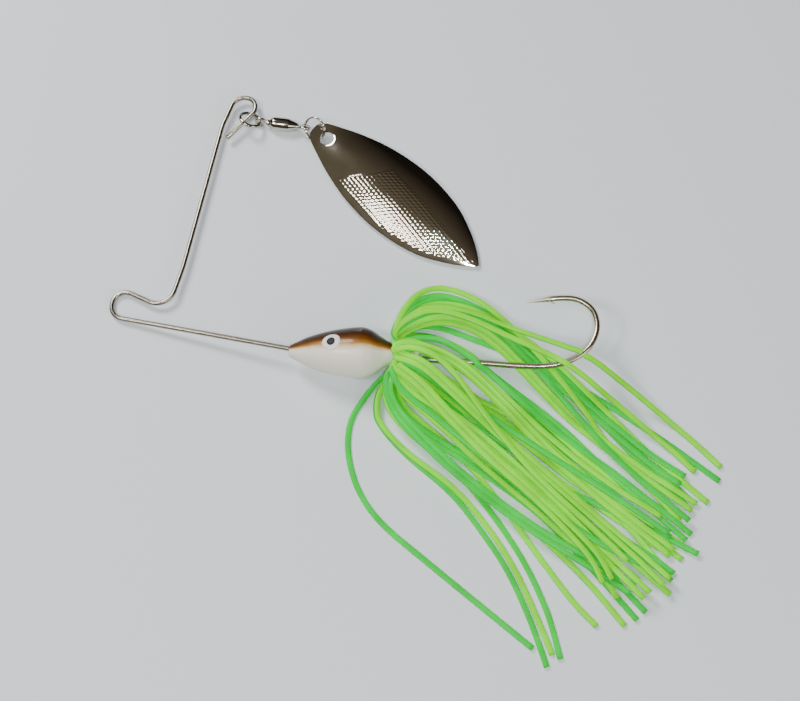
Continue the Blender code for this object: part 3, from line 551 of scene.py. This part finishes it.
def round_rings(line, radii, sides, side, closed=False):
    """Round cross-sections along a line, carried along it without twist."""
    rings = []
    count = len(line)
    side = Vector(side)
    for index in range(count):
        before = line[(index - 1) % count] if closed else line[max(index - 1, 0)]
        after = line[(index + 1) % count] if closed else line[min(index + 1, count - 1)]
        way = (Vector(after) - Vector(before)).normalized()
        side = (side - way * side.dot(way)).normalized()
        other = way.cross(side)
        radius = radii[index] if isinstance(radii, (list, tuple)) else radii
        ring = []
        for step in range(sides):
            turn = 2.0 * math.pi * step / sides
            ring.append(Vector(line[index]) + (side * math.cos(turn) + other * math.sin(turn)) * radius)
        rings.append(ring)
    return rings


def rounded_ends(line, radius):
    """Adds points and radii near both ends of a line, so that its edges are softened."""
    first_way = (line[1] - line[0]).normalized()
    last_way = (line[-1] - line[-2]).normalized()
    soft = 0.12 * radius
    new_line = [line[0], line[0] + first_way * soft * 0.4, line[0] + first_way * soft] + line[1:-1]
    new_line += [line[-1] - last_way * soft, line[-1] - last_way * soft * 0.4, line[-1]]
    radii = [radius * 0.86, radius * 0.96, radius] + [radius] * (len(line) - 2)
    radii += [radius, radius * 0.96, radius * 0.86]
    return new_line, radii


def fitted(piece, place, stuff, body, node):
    """Moves a piece's mesh to its place, its object staying at the origin, gives it its material,
    hangs it on the body it rides and hides the solid of the model that it stands for."""
    piece.data.transform(place)
    piece.data.update()
    piece.data.materials.append(stuff)
    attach(piece, body)
    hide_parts(node)


def drawn_metal(name, colour, dark, roughness, line_scale):
    """Bare metal with fine lines along it and slight uneven tone."""
    made, nodes, links, shader = shader_nodes(name)
    place = nodes.new("ShaderNodeTexCoord")
    stretch = nodes.new("ShaderNodeMapping")
    stretch.inputs["Scale"].default_value = line_scale
    links.new(place.outputs["UV"], stretch.inputs["Vector"])
    lines = noise(nodes, links, stretch.outputs["Vector"], 1.0, 4.0)
    links.new(ramp(nodes, links, lines, [(0.35, dark), (0.65, colour)]), shader.inputs["Base Color"])
    roughened(nodes, links, shader, lines, 0.3, 0.02 * MM)
    shader.inputs["Metallic"].default_value = 1.0
    shader.inputs["Roughness"].default_value = roughness
    return made


wire_steel = drawn_metal("stainless wire", (0.4, 0.36, 0.31), (0.27, 0.24, 0.2), 0.26, (46.0, 45.0, 1.0))
wire_path, wire_radii = rounded_ends(bent_line(WIRE_CORNERS, 5.0), WIRE_RADIUS)
wire = loft("wire_arm", round_rings(wire_path, wire_radii, 20, (0.0, 0.0, 1.0)))
fitted(wire, lure_plane, wire_steel, "root", "wire_frame")

# ---------------------------------------------------------------------------------------------
# The hook: forged wire with an open eye that the wire arm is bent through inside the head, a
# round bend, and a spear ground to a point with a cut barb. Its finish is bronzed dark nickel.
HOOK_EYE_RADIUS = 1.45 * MM
HOOK_EYE_WIRE = 0.5 * MM
HOOK_EYE_X = 9.6 * MM
HOOK_LINE_Y = -0.75 * MM
SHANK_RADIUS = 0.625 * MM
POINT_SHARE = 0.93

eye_line = []
for step in range(37):
    angle = math.radians(48.0 + 270.0 * step / 36.0)
    eye_line.append(Vector((HOOK_EYE_X + HOOK_EYE_RADIUS * math.cos(angle), HOOK_LINE_Y,
                            HOOK_EYE_RADIUS * math.sin(angle))))
lead_in = Vector((HOOK_EYE_X + 2.1 * MM, HOOK_LINE_Y, -0.3 * MM))
neck = Vector((HOOK_EYE_X + 3.2 * MM, HOOK_LINE_Y, 0.0))
shank = smooth_line([neck] + [Vector((x, y, 0.0)) * MM for x, y in HOOK_SHANK], 220)
hook_path = eye_line + [lead_in] + [Vector(point) for point in shank]
hook_radii = [HOOK_EYE_WIRE] * (len(eye_line) + 1)
for index in range(len(shank)):
    share = index / (len(shank) - 1)
    radius = HOOK_EYE_WIRE + (SHANK_RADIUS - HOOK_EYE_WIRE) * min(1.0, share / 0.12)
    if share > POINT_SHARE:
        radius *= max(0.03, 1.0 - (share - POINT_SHARE) / (1.0 - POINT_SHARE)) ** 0.8
    hook_radii.append(radius)
hook = loft("hook_forged", round_rings(hook_path, hook_radii, 20, (0.0, 1.0, 0.0)))

barb_root = Vector(shank[-14])
barb_back = (Vector(shank[-18]) - Vector(shank[-12])).normalized()
barb_inner = Vector((barb_back.y, -barb_back.x, 0.0))
if barb_inner.y > 0.0:
    barb_inner = barb_inner * -1.0
barb_line = [barb_root - barb_back * 0.6 * MM + barb_inner * 0.05 * MM, barb_root + barb_inner * 0.3 * MM,
             barb_root + barb_back * 0.8 * MM + barb_inner * 0.72 * MM,
             barb_root + barb_back * 1.5 * MM + barb_inner * 1.3 * MM]
barb = loft("hook_barb", round_rings(smooth_line(barb_line, 14),
                                     [0.34 * MM * (1.0 - 0.9 * k / 13.0) + 0.02 * MM for k in range(14)],
                                     12, (0.0, 0.0, 1.0)))
bronzed = drawn_metal("bronzed nickel", (0.62, 0.53, 0.44), (0.46, 0.38, 0.3), 0.27, (24.0, 50.0, 1.0))
for piece in (hook, barb):
    fitted(piece, lure_plane, bronzed, "root", "hook")

# ---------------------------------------------------------------------------------------------
# The head: lead cast on the hook and wire in the shape of a minnow's head, dipped in white,
# sprayed amber and black-brown along its back, and coated with clear lacquer.
NECK_SHAPE = [(23.6, 1.5), (26.8, 1.5), (27.1, 1.85), (27.6, 1.75), (28.0, 1.3)]
FLANK_COUNT = 96


def head_radius(x):
    return float(np.interp(x, profile_x, profile_r))


profile = smooth_line([Vector((0.0, 1.3, 0.0))] + [Vector((x, radius, 0.0)) for x, radius in HEAD_SHAPE[1:]]
                      + [Vector((x, radius, 0.0)) for x, radius in NECK_SHAPE], 90) * MM
profile_x = profile[:, 0]
profile_r = profile[:, 1]
head_rings = []
nose_cap = [(-0.12, 0.5), (-0.1, 0.9), (-0.02, 1.16)]
for x, radius in nose_cap + [(px / MM, pr / MM) for px, pr in zip(profile_x, profile_r)]:
    ring = []
    for step in range(FLANK_COUNT):
        angle = 2.0 * math.pi * step / FLANK_COUNT
        ring.append(Vector((x, radius * math.cos(angle), radius * math.sin(angle))) * MM)
    head_rings.append(ring)
head = loft("head_minnow", head_rings)

made, nodes, links, shader = shader_nodes("lacquered paint")
back_map = nodes.new("ShaderNodeAttribute")
back_map.attribute_name = "back"
place = nodes.new("ShaderNodeTexCoord")
speckle = noise(nodes, links, place.outputs["Object"], 420.0, 3.0)
spread = nodes.new("ShaderNodeMath")
spread.operation = "MULTIPLY_ADD"
spread.inputs[1].default_value = 0.05
links.new(speckle, spread.inputs[0])
links.new(back_map.outputs["Fac"], spread.inputs[2])
stops = [(0.0, (0.84, 0.81, 0.71)), (0.43, (0.84, 0.8, 0.69)), (0.5, (0.66, 0.5, 0.26)),
         (0.55, (0.34, 0.15, 0.025)), (0.63, (0.13, 0.044, 0.006)), (0.73, (0.04, 0.013, 0.003)),
         (0.86, (0.014, 0.006, 0.004)), (1.0, (0.006, 0.005, 0.006))]
links.new(ramp(nodes, links, spread.outputs["Value"], stops), shader.inputs["Base Color"])
shader.inputs["Roughness"].default_value = 0.32
shader.inputs["Specular IOR Level"].default_value = 0.15
shader.inputs["Coat Weight"].default_value = 0.35
shader.inputs["Coat Roughness"].default_value = 0.04
shader.inputs["Coat IOR"].default_value = 1.34
roughened(nodes, links, shader, speckle, 0.12, 0.1 * MM)
head_paint = made
back = head.data.attributes.new("back", "FLOAT", "POINT")
for index, vertex in enumerate(head.data.vertices):
    radial = Vector((vertex.co.y, vertex.co.z))
    lean = vertex.co.y / max(radial.length, 0.2 * MM)
    back.data[index].value = 0.5 + 0.42 * lean
fitted(head, lure_plane, head_paint, "root", "lead_head")

# ---------------------------------------------------------------------------------------------
# The eyes: a dot of white lacquer on each flank, and a smaller black one on it. Each is a thin
# raised drop that follows the head's surface.
EYE_X = 9.4 * MM
EYE_UP = math.radians(8.0)


def lacquer_dot(name, centre_x, radius, height, side, stuff, node):
    """A round drop of lacquer laid on the head's flank."""
    steps = 12
    work = bmesh.new()
    rings = []
    for ring_number in range(1, steps + 1):
        share = ring_number / steps
        ring = []
        for step in range(48):
            turn = 2.0 * math.pi * step / 48
            x = centre_x + radius * share * math.cos(turn)
            aside = radius * share * math.sin(turn)
            lift = height * math.sqrt(max(0.0, 1.0 - share ** 6)) - 0.02 * MM
            surface = head_radius(x) + lift
            angle = aside / head_radius(centre_x) + EYE_UP
            ring.append(work.verts.new((x, surface * math.sin(angle), side * surface * math.cos(angle))))
        rings.append(ring)
    top = head_radius(centre_x) + height - 0.02 * MM
    peak = work.verts.new((centre_x, top * math.sin(EYE_UP), side * top * math.cos(EYE_UP)))
    for step in range(48):
        after = (step + 1) % 48
        work.faces.new((peak, rings[0][step], rings[0][after]))
        for near, far in zip(rings, rings[1:]):
            work.faces.new((near[step], far[step], far[after], near[after]))
    foot = []
    for vertex in rings[-1]:
        radial = Vector((0.0, vertex.co.y, vertex.co.z)).normalized()
        foot.append(work.verts.new(vertex.co - radial * 0.15 * MM))
    for step in range(48):
        after = (step + 1) % 48
        work.faces.new((rings[-1][step], foot[step], foot[after], rings[-1][after]))
    work.faces.new(foot)
    bmesh.ops.recalc_face_normals(work, faces=work.faces)
    for face in work.faces:
        face.smooth = True
    mesh = bpy.data.meshes.new(name)
    work.to_mesh(mesh)
    work.free()
    piece = bpy.data.objects.new(name, mesh)
    bpy.context.scene.collection.objects.link(piece)
    fitted(piece, lure_plane, stuff, "root", node)


def lacquer(name, colour):
    made, nodes, links, shader = shader_nodes(name)
    place = nodes.new("ShaderNodeTexCoord")
    speck = noise(nodes, links, place.outputs["Object"], 900.0)
    duller = [part * 0.88 for part in colour]
    links.new(ramp(nodes, links, speck, [(0.0, duller), (1.0, colour)]), shader.inputs["Base Color"])
    shader.inputs["Roughness"].default_value = 0.5
    shader.inputs["Specular IOR Level"].default_value = 0.2
    return made


white_lacquer = lacquer("white lacquer", (0.86, 0.84, 0.84))
black_lacquer = lacquer("black lacquer", (0.012, 0.01, 0.022))
for flank, side in (("left", 1.0), ("right", -1.0)):
    lacquer_dot("eye_dot_" + flank, EYE_X, 2.0 * MM, 0.2 * MM, side,
                white_lacquer, "eye_white_" + flank)
    lacquer_dot("pupil_dot_" + flank, EYE_X - 0.05 * MM, 1.0 * MM, 0.32 * MM, side,
                black_lacquer, "eye_pupil_" + flank)

# ---------------------------------------------------------------------------------------------
# The collar: a soft rubber band rolled on to the neck, which grips the strands' roots.
collar_rings = []
for step in range(48):
    angle = 2.0 * math.pi * step / 48
    ring = []
    for corner in range(24):
        turn = 2.0 * math.pi * corner / 24
        x = 24.8 + 1.6 * math.copysign(abs(math.cos(turn)) ** 0.6, math.cos(turn))
        radius = 2.15 + 0.55 * math.copysign(abs(math.sin(turn)) ** 0.7, math.sin(turn))
        ring.append(Vector((x, radius * math.cos(angle), radius * math.sin(angle))) * MM)
    collar_rings.append(ring)
collar = loft("collar_band", collar_rings, closed=True)
fitted(collar, lure_plane, green_through, "root", "skirt_collar")

# ---------------------------------------------------------------------------------------------
# The rigging between the wire's loop and the blade: a soldered front ring, a ball-bearing swivel
# and a split ring, all polished nickel plate. Each hangs loose on the one before.


def joint_place(name):
    for joint in frame["joints"]:
        if joint["name"] == name:
            return Vector(joint["pos_m"]), Vector(joint["axis"]).normalized()
    raise RuntimeError(name)


def aligned(place, x_way, y_way):
    """A placing matrix with its x along x_way and its y as near y_way as it can be."""
    x_dir = x_way.normalized()
    z_dir = x_dir.cross(y_way).normalized()
    y_dir = z_dir.cross(x_dir)
    return Matrix.Translation(place) @ Matrix((x_dir, y_dir, z_dir)).transposed().to_4x4()


def plated(name, colour, roughness):
    """Nickel plate: mirror bright, with the faintest haze and handling marks."""
    made, nodes, links, shader = shader_nodes(name)
    place = nodes.new("ShaderNodeTexCoord")
    haze = noise(nodes, links, place.outputs["Object"], 260.0, 5.0)
    duller = [part * 0.9 for part in colour]
    links.new(ramp(nodes, links, haze, [(0.0, duller), (1.0, colour)]), shader.inputs["Base Color"])
    gloss = nodes.new("ShaderNodeMapRange")
    gloss.inputs["To Min"].default_value = roughness * 0.7
    gloss.inputs["To Max"].default_value = roughness * 1.5
    links.new(haze, gloss.inputs["Value"])
    links.new(gloss.outputs["Result"], shader.inputs["Roughness"])
    shader.inputs["Metallic"].default_value = 1.0
    return made


nickel = plated("polished nickel", (0.6, 0.57, 0.51), 0.1)
_, loop_way = joint_place("ring_swing")
eye_place, eye_way = joint_place("swivel_swing")
_, spin_way = joint_place("swivel_spin")
rear_place, rear_way = joint_place("split_ring_swing")
split_place, split_way = joint_place("blade_swing")

RING_CENTRE = Vector((-13.5, 55.9, 0.0)) * MM
RING_RADIUS = 2.35 * MM
RING_WIRE = 0.4 * MM
RING_TILT = math.radians(36.0)
plane_up = lure_plane.to_3x3() @ Vector((0.0, 0.0, 1.0))
ring_rise = loop_way * math.cos(RING_TILT) + plane_up * math.sin(RING_TILT)
ring_frame = aligned(lure_plane @ RING_CENTRE, plane_up.cross(loop_way), ring_rise)
ring_line = []
for step in range(72):
    angle = 2.0 * math.pi * step / 72
    ring_line.append(Vector((math.cos(angle), math.sin(angle), 0.0)) * RING_RADIUS)
ring_rings = round_rings(ring_line, RING_WIRE, 20, (0.0, 0.0, 1.0), closed=True)
front_ring = loft("front_ring_soldered", ring_rings, closed=True)
fitted(front_ring, ring_frame, nickel, "ring", "front_ring")

SWIVEL_EYE_WIRE = 0.35 * MM
STEM = 0.36 * MM
HEAD_WIDE = 1.19 * MM


def eyed_pin(name, place, eye_radius, stem_run, node, body):
    """A pin whose wire is turned into an eye at one end and headed over at the other."""
    line = []
    for step in range(33):
        angle = math.radians(50.0 + 265.0 * step / 32.0)
        line.append(Vector((eye_radius * math.cos(angle), 0.0, eye_radius * math.sin(angle))))
    line.append(Vector((eye_radius * 1.3, 0.0, -eye_radius * 0.2)))
    radii = [SWIVEL_EYE_WIRE] * len(line)
    for x, radius in stem_run:
        line.append(Vector((x, 0.0, 0.0)))
        radii.append(radius)
    pin = loft(name, round_rings(line, radii, 20, (0.0, 1.0, 0.0)))
    fitted(pin, place, nickel, body, node)


shaft_frame = aligned(eye_place, spin_way, eye_way)
shaft_run = [(1.42 * MM, SWIVEL_EYE_WIRE), (1.46 * MM, 0.62 * MM), (1.54 * MM, 0.76 * MM),
             (1.64 * MM, 0.8 * MM), (2.04 * MM, 0.8 * MM), (2.12 * MM, 0.77 * MM), (2.16 * MM, 0.6 * MM),
             (2.18 * MM, STEM), (3.66 * MM, STEM), (3.69 * MM, HEAD_WIDE), (4.2 * MM, HEAD_WIDE),
             (4.24 * MM, 1.0 * MM)]
eyed_pin("swivel_shaft_eye", shaft_frame, 0.98 * MM, shaft_run, "swivel_shaft", "shaft")
between = (rear_place - eye_place).length
rear_frame = aligned(rear_place, spin_way * -1.0, rear_way)
rear_run = [(1.65 * MM, STEM), (between - 6.01 * MM, STEM), (between - 5.98 * MM, HEAD_WIDE),
            (between - 5.44 * MM, HEAD_WIDE), (between - 5.4 * MM, 1.0 * MM)]
eyed_pin("swivel_rear_eye", rear_frame, 1.08 * MM, rear_run, "swivel_rear_loop", "barrel")

SHELL = [(2.4, 1.0), (2.35, 1.04), (2.35, 1.14), (2.4, 1.2), (3.05, 1.52), (3.2, 1.55), (4.8, 1.56),
         (6.4, 1.55), (6.55, 1.53), (6.7, 1.46), (8.4, 0.76), (8.58, 0.68), (8.68, 0.6), (8.7, 0.54),
         (8.68, 0.48), (8.6, 0.46), (6.35, 0.46), (6.35, 1.31), (3.05, 1.31), (2.55, 1.0)]
shell_rings = []
for step in range(64):
    angle = 2.0 * math.pi * step / 64
    shell_rings.append([Vector((x, r * math.cos(angle), r * math.sin(angle))) * MM for x, r in SHELL])
barrel = loft("swivel_barrel_shell", shell_rings, closed=True)
fitted(barrel, shaft_frame, nickel, "barrel", "swivel_barrel")
bpy.ops.object.select_all(action="DESELECT")
barrel.select_set(True)
bpy.context.view_layer.objects.active = barrel
bpy.ops.object.shade_smooth_by_angle(angle=math.radians(50.0))

bearing_steel = plated("bearing steel", (0.7, 0.7, 0.7), 0.06)
turned_brass = plated("turned brass", (0.76, 0.55, 0.27), 0.2)
frame["nodes"]["swivel_bushing"].data.materials.clear()
frame["nodes"]["swivel_bushing"].data.materials.append(turned_brass)
for number in range(1, 7):
    ball = frame["nodes"]["bearing_ball_" + str(number)]
    ball.data.materials.clear()
    ball.data.materials.append(bearing_steel)

SPLIT_RADIUS = 2.6 * MM
SPLIT_WIRE = 0.2 * MM
SPLIT_PITCH = 0.48 * MM
SPLIT_TURNS = 1.85
BLADE_HEADING = math.radians(-38.65)
BLADE_SLOPE = math.radians(2.1)
blade_way = Vector((math.cos(BLADE_HEADING), math.sin(BLADE_HEADING), -math.tan(BLADE_SLOPE))).normalized()
split_frame = aligned(split_place, blade_way, split_way.cross(blade_way))
split_line = []
for step in range(140):
    share = step / 139
    angle = math.radians(135.0) + 2.0 * math.pi * SPLIT_TURNS * share
    rise = (share - 0.5) * SPLIT_PITCH * SPLIT_TURNS
    split_line.append(Vector((SPLIT_RADIUS * math.cos(angle), SPLIT_RADIUS * math.sin(angle), rise)))
split_path, split_radii = rounded_ends(split_line, SPLIT_WIRE)
split_ring = loft("split_ring_coil", round_rings(split_path, split_radii, 14, (0.0, 0.0, 1.0)))
fitted(split_ring, split_frame, nickel, "split", "split_ring")

# ---------------------------------------------------------------------------------------------
# The blade: half-millimetre brass, stamped to a willow leaf with a shallow dome, nickel plated
# and polished like a mirror. One half is pressed with rows of fish scales under a gill line.
HOLE_PLACE = Vector((4.35 * MM + NOSE.x, 51.8 * MM + NOSE.y, 2.35 * MM))
BLADE_ROLL = math.radians(4.0)
BLADE_THICKNESS = 0.5 * MM
BLADE_DOME = 2.4
HOLE_RADIUS = 1.65
BLADE_BACK = -4.1
BLADE_TIP = 45.2
FLAT_END = -1.5
OUTLINE = [(-4.1, 0.8), (-3.7, 1.7), (-2.2, 2.9), (1.0, 4.3), (6.0, 6.2), (13.0, 8.0),
           (21.0, 8.8), (28.0, 8.3), (34.0, 6.9), (39.0, 4.6), (42.6, 2.4), (45.2, 0.25)]
outline = smooth_line([Vector((x, half, 0.0)) for x, half in OUTLINE], 400)
ROWS = 370
COLUMNS = 126
BEAD_HEIGHT = 0.085
ROW_PITCH = 0.72
LANE_PITCH = 0.85
PLAIN_EDGE = 0.8
SEAM_HEIGHT = 0.05
GILL_HEIGHT = 0.07
HALF_SHEET = 0.25


def pressed_height(x, y, half):
    """Height of the stamped relief at a point of the blade, in millimetres."""
    gill = np.interp(y, [-8.5, -6.6, -4.5, -1.8, 0.4, 3.4], [6.6, 7.4, 9.6, 12.2, 14.6, 16.8])
    seam = np.interp(x, [16.0, 26.0, 33.0, 41.0], [3.6, 2.5, 1.3, 0.1])
    margin = half - PLAIN_EDGE
    inside = 1.0 if (x > gill and y < seam and y > -margin) else 0.0
    if not inside:
        edge = math.exp(-((y - seam) / 0.14) ** 2) if x > 16.5 and x < 42.0 else 0.0
        ridge = math.exp(-((x - gill) / 0.22) ** 2) if y < 3.6 and y > -margin else 0.0
        return SEAM_HEIGHT * edge + GILL_HEIGHT * ridge
    row = (y * 0.75 - x * 0.66) / ROW_PITCH
    lane = (y * 0.988 + x * 0.154) / LANE_PITCH
    bead = (math.cos(2.0 * math.pi * row) * 0.5 + 0.5) * (math.cos(2.0 * math.pi * lane) * 0.5 + 0.5)
    soft = min(1.0, (margin + y) / 0.8, (seam - y) / 0.3, (x - gill) / 0.3)
    return BEAD_HEIGHT * math.sqrt(bead) * max(0.0, soft)


def blade_height(x, y):
    """Height of the blade's top face: its shallow dome and the relief pressed in it."""
    half = float(np.interp(x, outline[:, 0], outline[:, 1]))
    arch = min(1.0, max(0.0, (x - FLAT_END) / (BLADE_TIP - FLAT_END)))
    crown = BLADE_DOME * math.sin(math.pi * arch) * max(0.0, 1.0 - (y / half) ** 2)
    return crown + HALF_SHEET + pressed_height(x, y, half)


bpy.ops.object.select_all(action="DESELECT")
bpy.ops.mesh.primitive_grid_add(x_subdivisions=ROWS, y_subdivisions=COLUMNS, size=2.0)
blade = bpy.context.active_object
blade.name = "blade_willow_leaf"
for vertex in blade.data.vertices:
    share = (vertex.co.x + 1.0) / 2.0
    across = vertex.co.y
    x = BLADE_BACK + (BLADE_TIP - BLADE_BACK) * (share - math.sin(4.0 * math.pi * share) / 40.0)
    half = float(np.interp(x, outline[:, 0], outline[:, 1]))
    y = across * half
    vertex.co = (x, y, blade_height(x, y))
work = bmesh.new()
work.from_mesh(blade.data)
inside = [vertex for vertex in work.verts if vertex.co.xy.length < HOLE_RADIUS + 0.03]
bmesh.ops.delete(work, geom=inside, context="VERTS")
for vertex in work.verts:
    if vertex.is_boundary and vertex.co.xy.length < HOLE_RADIUS + 0.5:
        spot_on_rim = vertex.co.xy.normalized() * HOLE_RADIUS
        vertex.co = (spot_on_rim.x, spot_on_rim.y, blade_height(spot_on_rim.x, spot_on_rim.y))
for face in work.faces:
    face.smooth = True
work.to_mesh(blade.data)
work.free()
blade.data.transform(Matrix.Scale(MM, 4))
wall = blade.modifiers.new("wall", "SOLIDIFY")
wall.thickness = BLADE_THICKNESS
wall.offset = -1.0
edge = blade.modifiers.new("edge", "BEVEL")
edge.width = 0.09 * MM
edge.segments = 2
edge.limit_method = "ANGLE"
edge.angle_limit = math.radians(50.0)
for change in ("wall", "edge"):
    bpy.ops.object.modifier_apply(modifier=change)
blade_level = Vector((0.0, 0.0, 1.0)).cross(blade_way).normalized()
blade_lift = blade_way.cross(blade_level)
rolled = blade_level * math.cos(BLADE_ROLL) + blade_lift * math.sin(BLADE_ROLL)
mirror_nickel = plated("mirror nickel", (0.74, 0.69, 0.61), 0.07)
blade.data.materials.clear()
fitted(blade, aligned(HOLE_PLACE, blade_way, rolled), mirror_nickel, "spinner", "blade")

# ---------------------------------------------------------------------------------------------
# The table top, and plain soft studio light: a wide light from behind, two small keys from the
# left, a fill from the right and a small one near the camera, in a dim warm room.
bpy.ops.object.select_all(action="DESELECT")
bpy.ops.mesh.primitive_plane_add(size=6.0, location=(0.0, 0.0, 0.0))
floor = bpy.context.active_object
floor.name = "table_top"
made, nodes, links, shader = shader_nodes("pale table")
shader.inputs["Base Color"].default_value = (0.7, 0.76, 0.82, 1.0)
shader.inputs["Roughness"].default_value = 0.45
floor.data.materials.append(made)

world = bpy.data.worlds.new("room")
world.use_nodes = True
room = world.node_tree
heading = room.nodes.new("ShaderNodeTexCoord")
toward = room.nodes.new("ShaderNodeVectorMath")
toward.operation = "DOT_PRODUCT"
toward.inputs[1].default_value = (-0.32, -0.25, 0.914)
room.links.new(heading.outputs["Generated"], toward.inputs[0])
walls = [(0.2, (0.012, 0.01, 0.008)), (0.62, (0.074, 0.06, 0.042)), (0.95, (0.14, 0.12, 0.084))]
tone = ramp(room.nodes, room.links, toward.outputs["Value"], walls)
room.links.new(tone, room.nodes["Background"].inputs["Color"])
bpy.context.scene.world = world


def soft_light(name, way, distance, size, power, colour):
    lamp = bpy.data.lights.new(name, "AREA")
    lamp.shape = "DISK"
    lamp.size = size
    lamp.energy = power
    lamp.color = colour
    light = bpy.data.objects.new(name, lamp)
    bpy.context.scene.collection.objects.link(light)
    out = Vector(way).normalized()
    light.location = LOOK_AT + out * distance
    light.rotation_euler = out.to_track_quat("Z", "Y").to_euler()


soft_light("key", (-0.5, -0.25, 0.83), 0.8, 0.15, 1.8, (1.0, 0.97, 0.92))
soft_light("key_low", (-0.28, -0.36, 0.89), 0.8, 0.14, 1.0, (1.0, 0.97, 0.92))
soft_light("overhead", (-0.5, 0.55, 0.67), 1.0, 0.36, 8.5, (1.0, 0.98, 0.95))
soft_light("fill", (0.7, -0.5, 0.51), 1.0, 0.5, 2.6, (1.0, 0.98, 0.95))
soft_light("near_camera", (0.05, -0.36, 0.93), 0.5, 0.03, 0.9, (1.0, 1.0, 1.0))
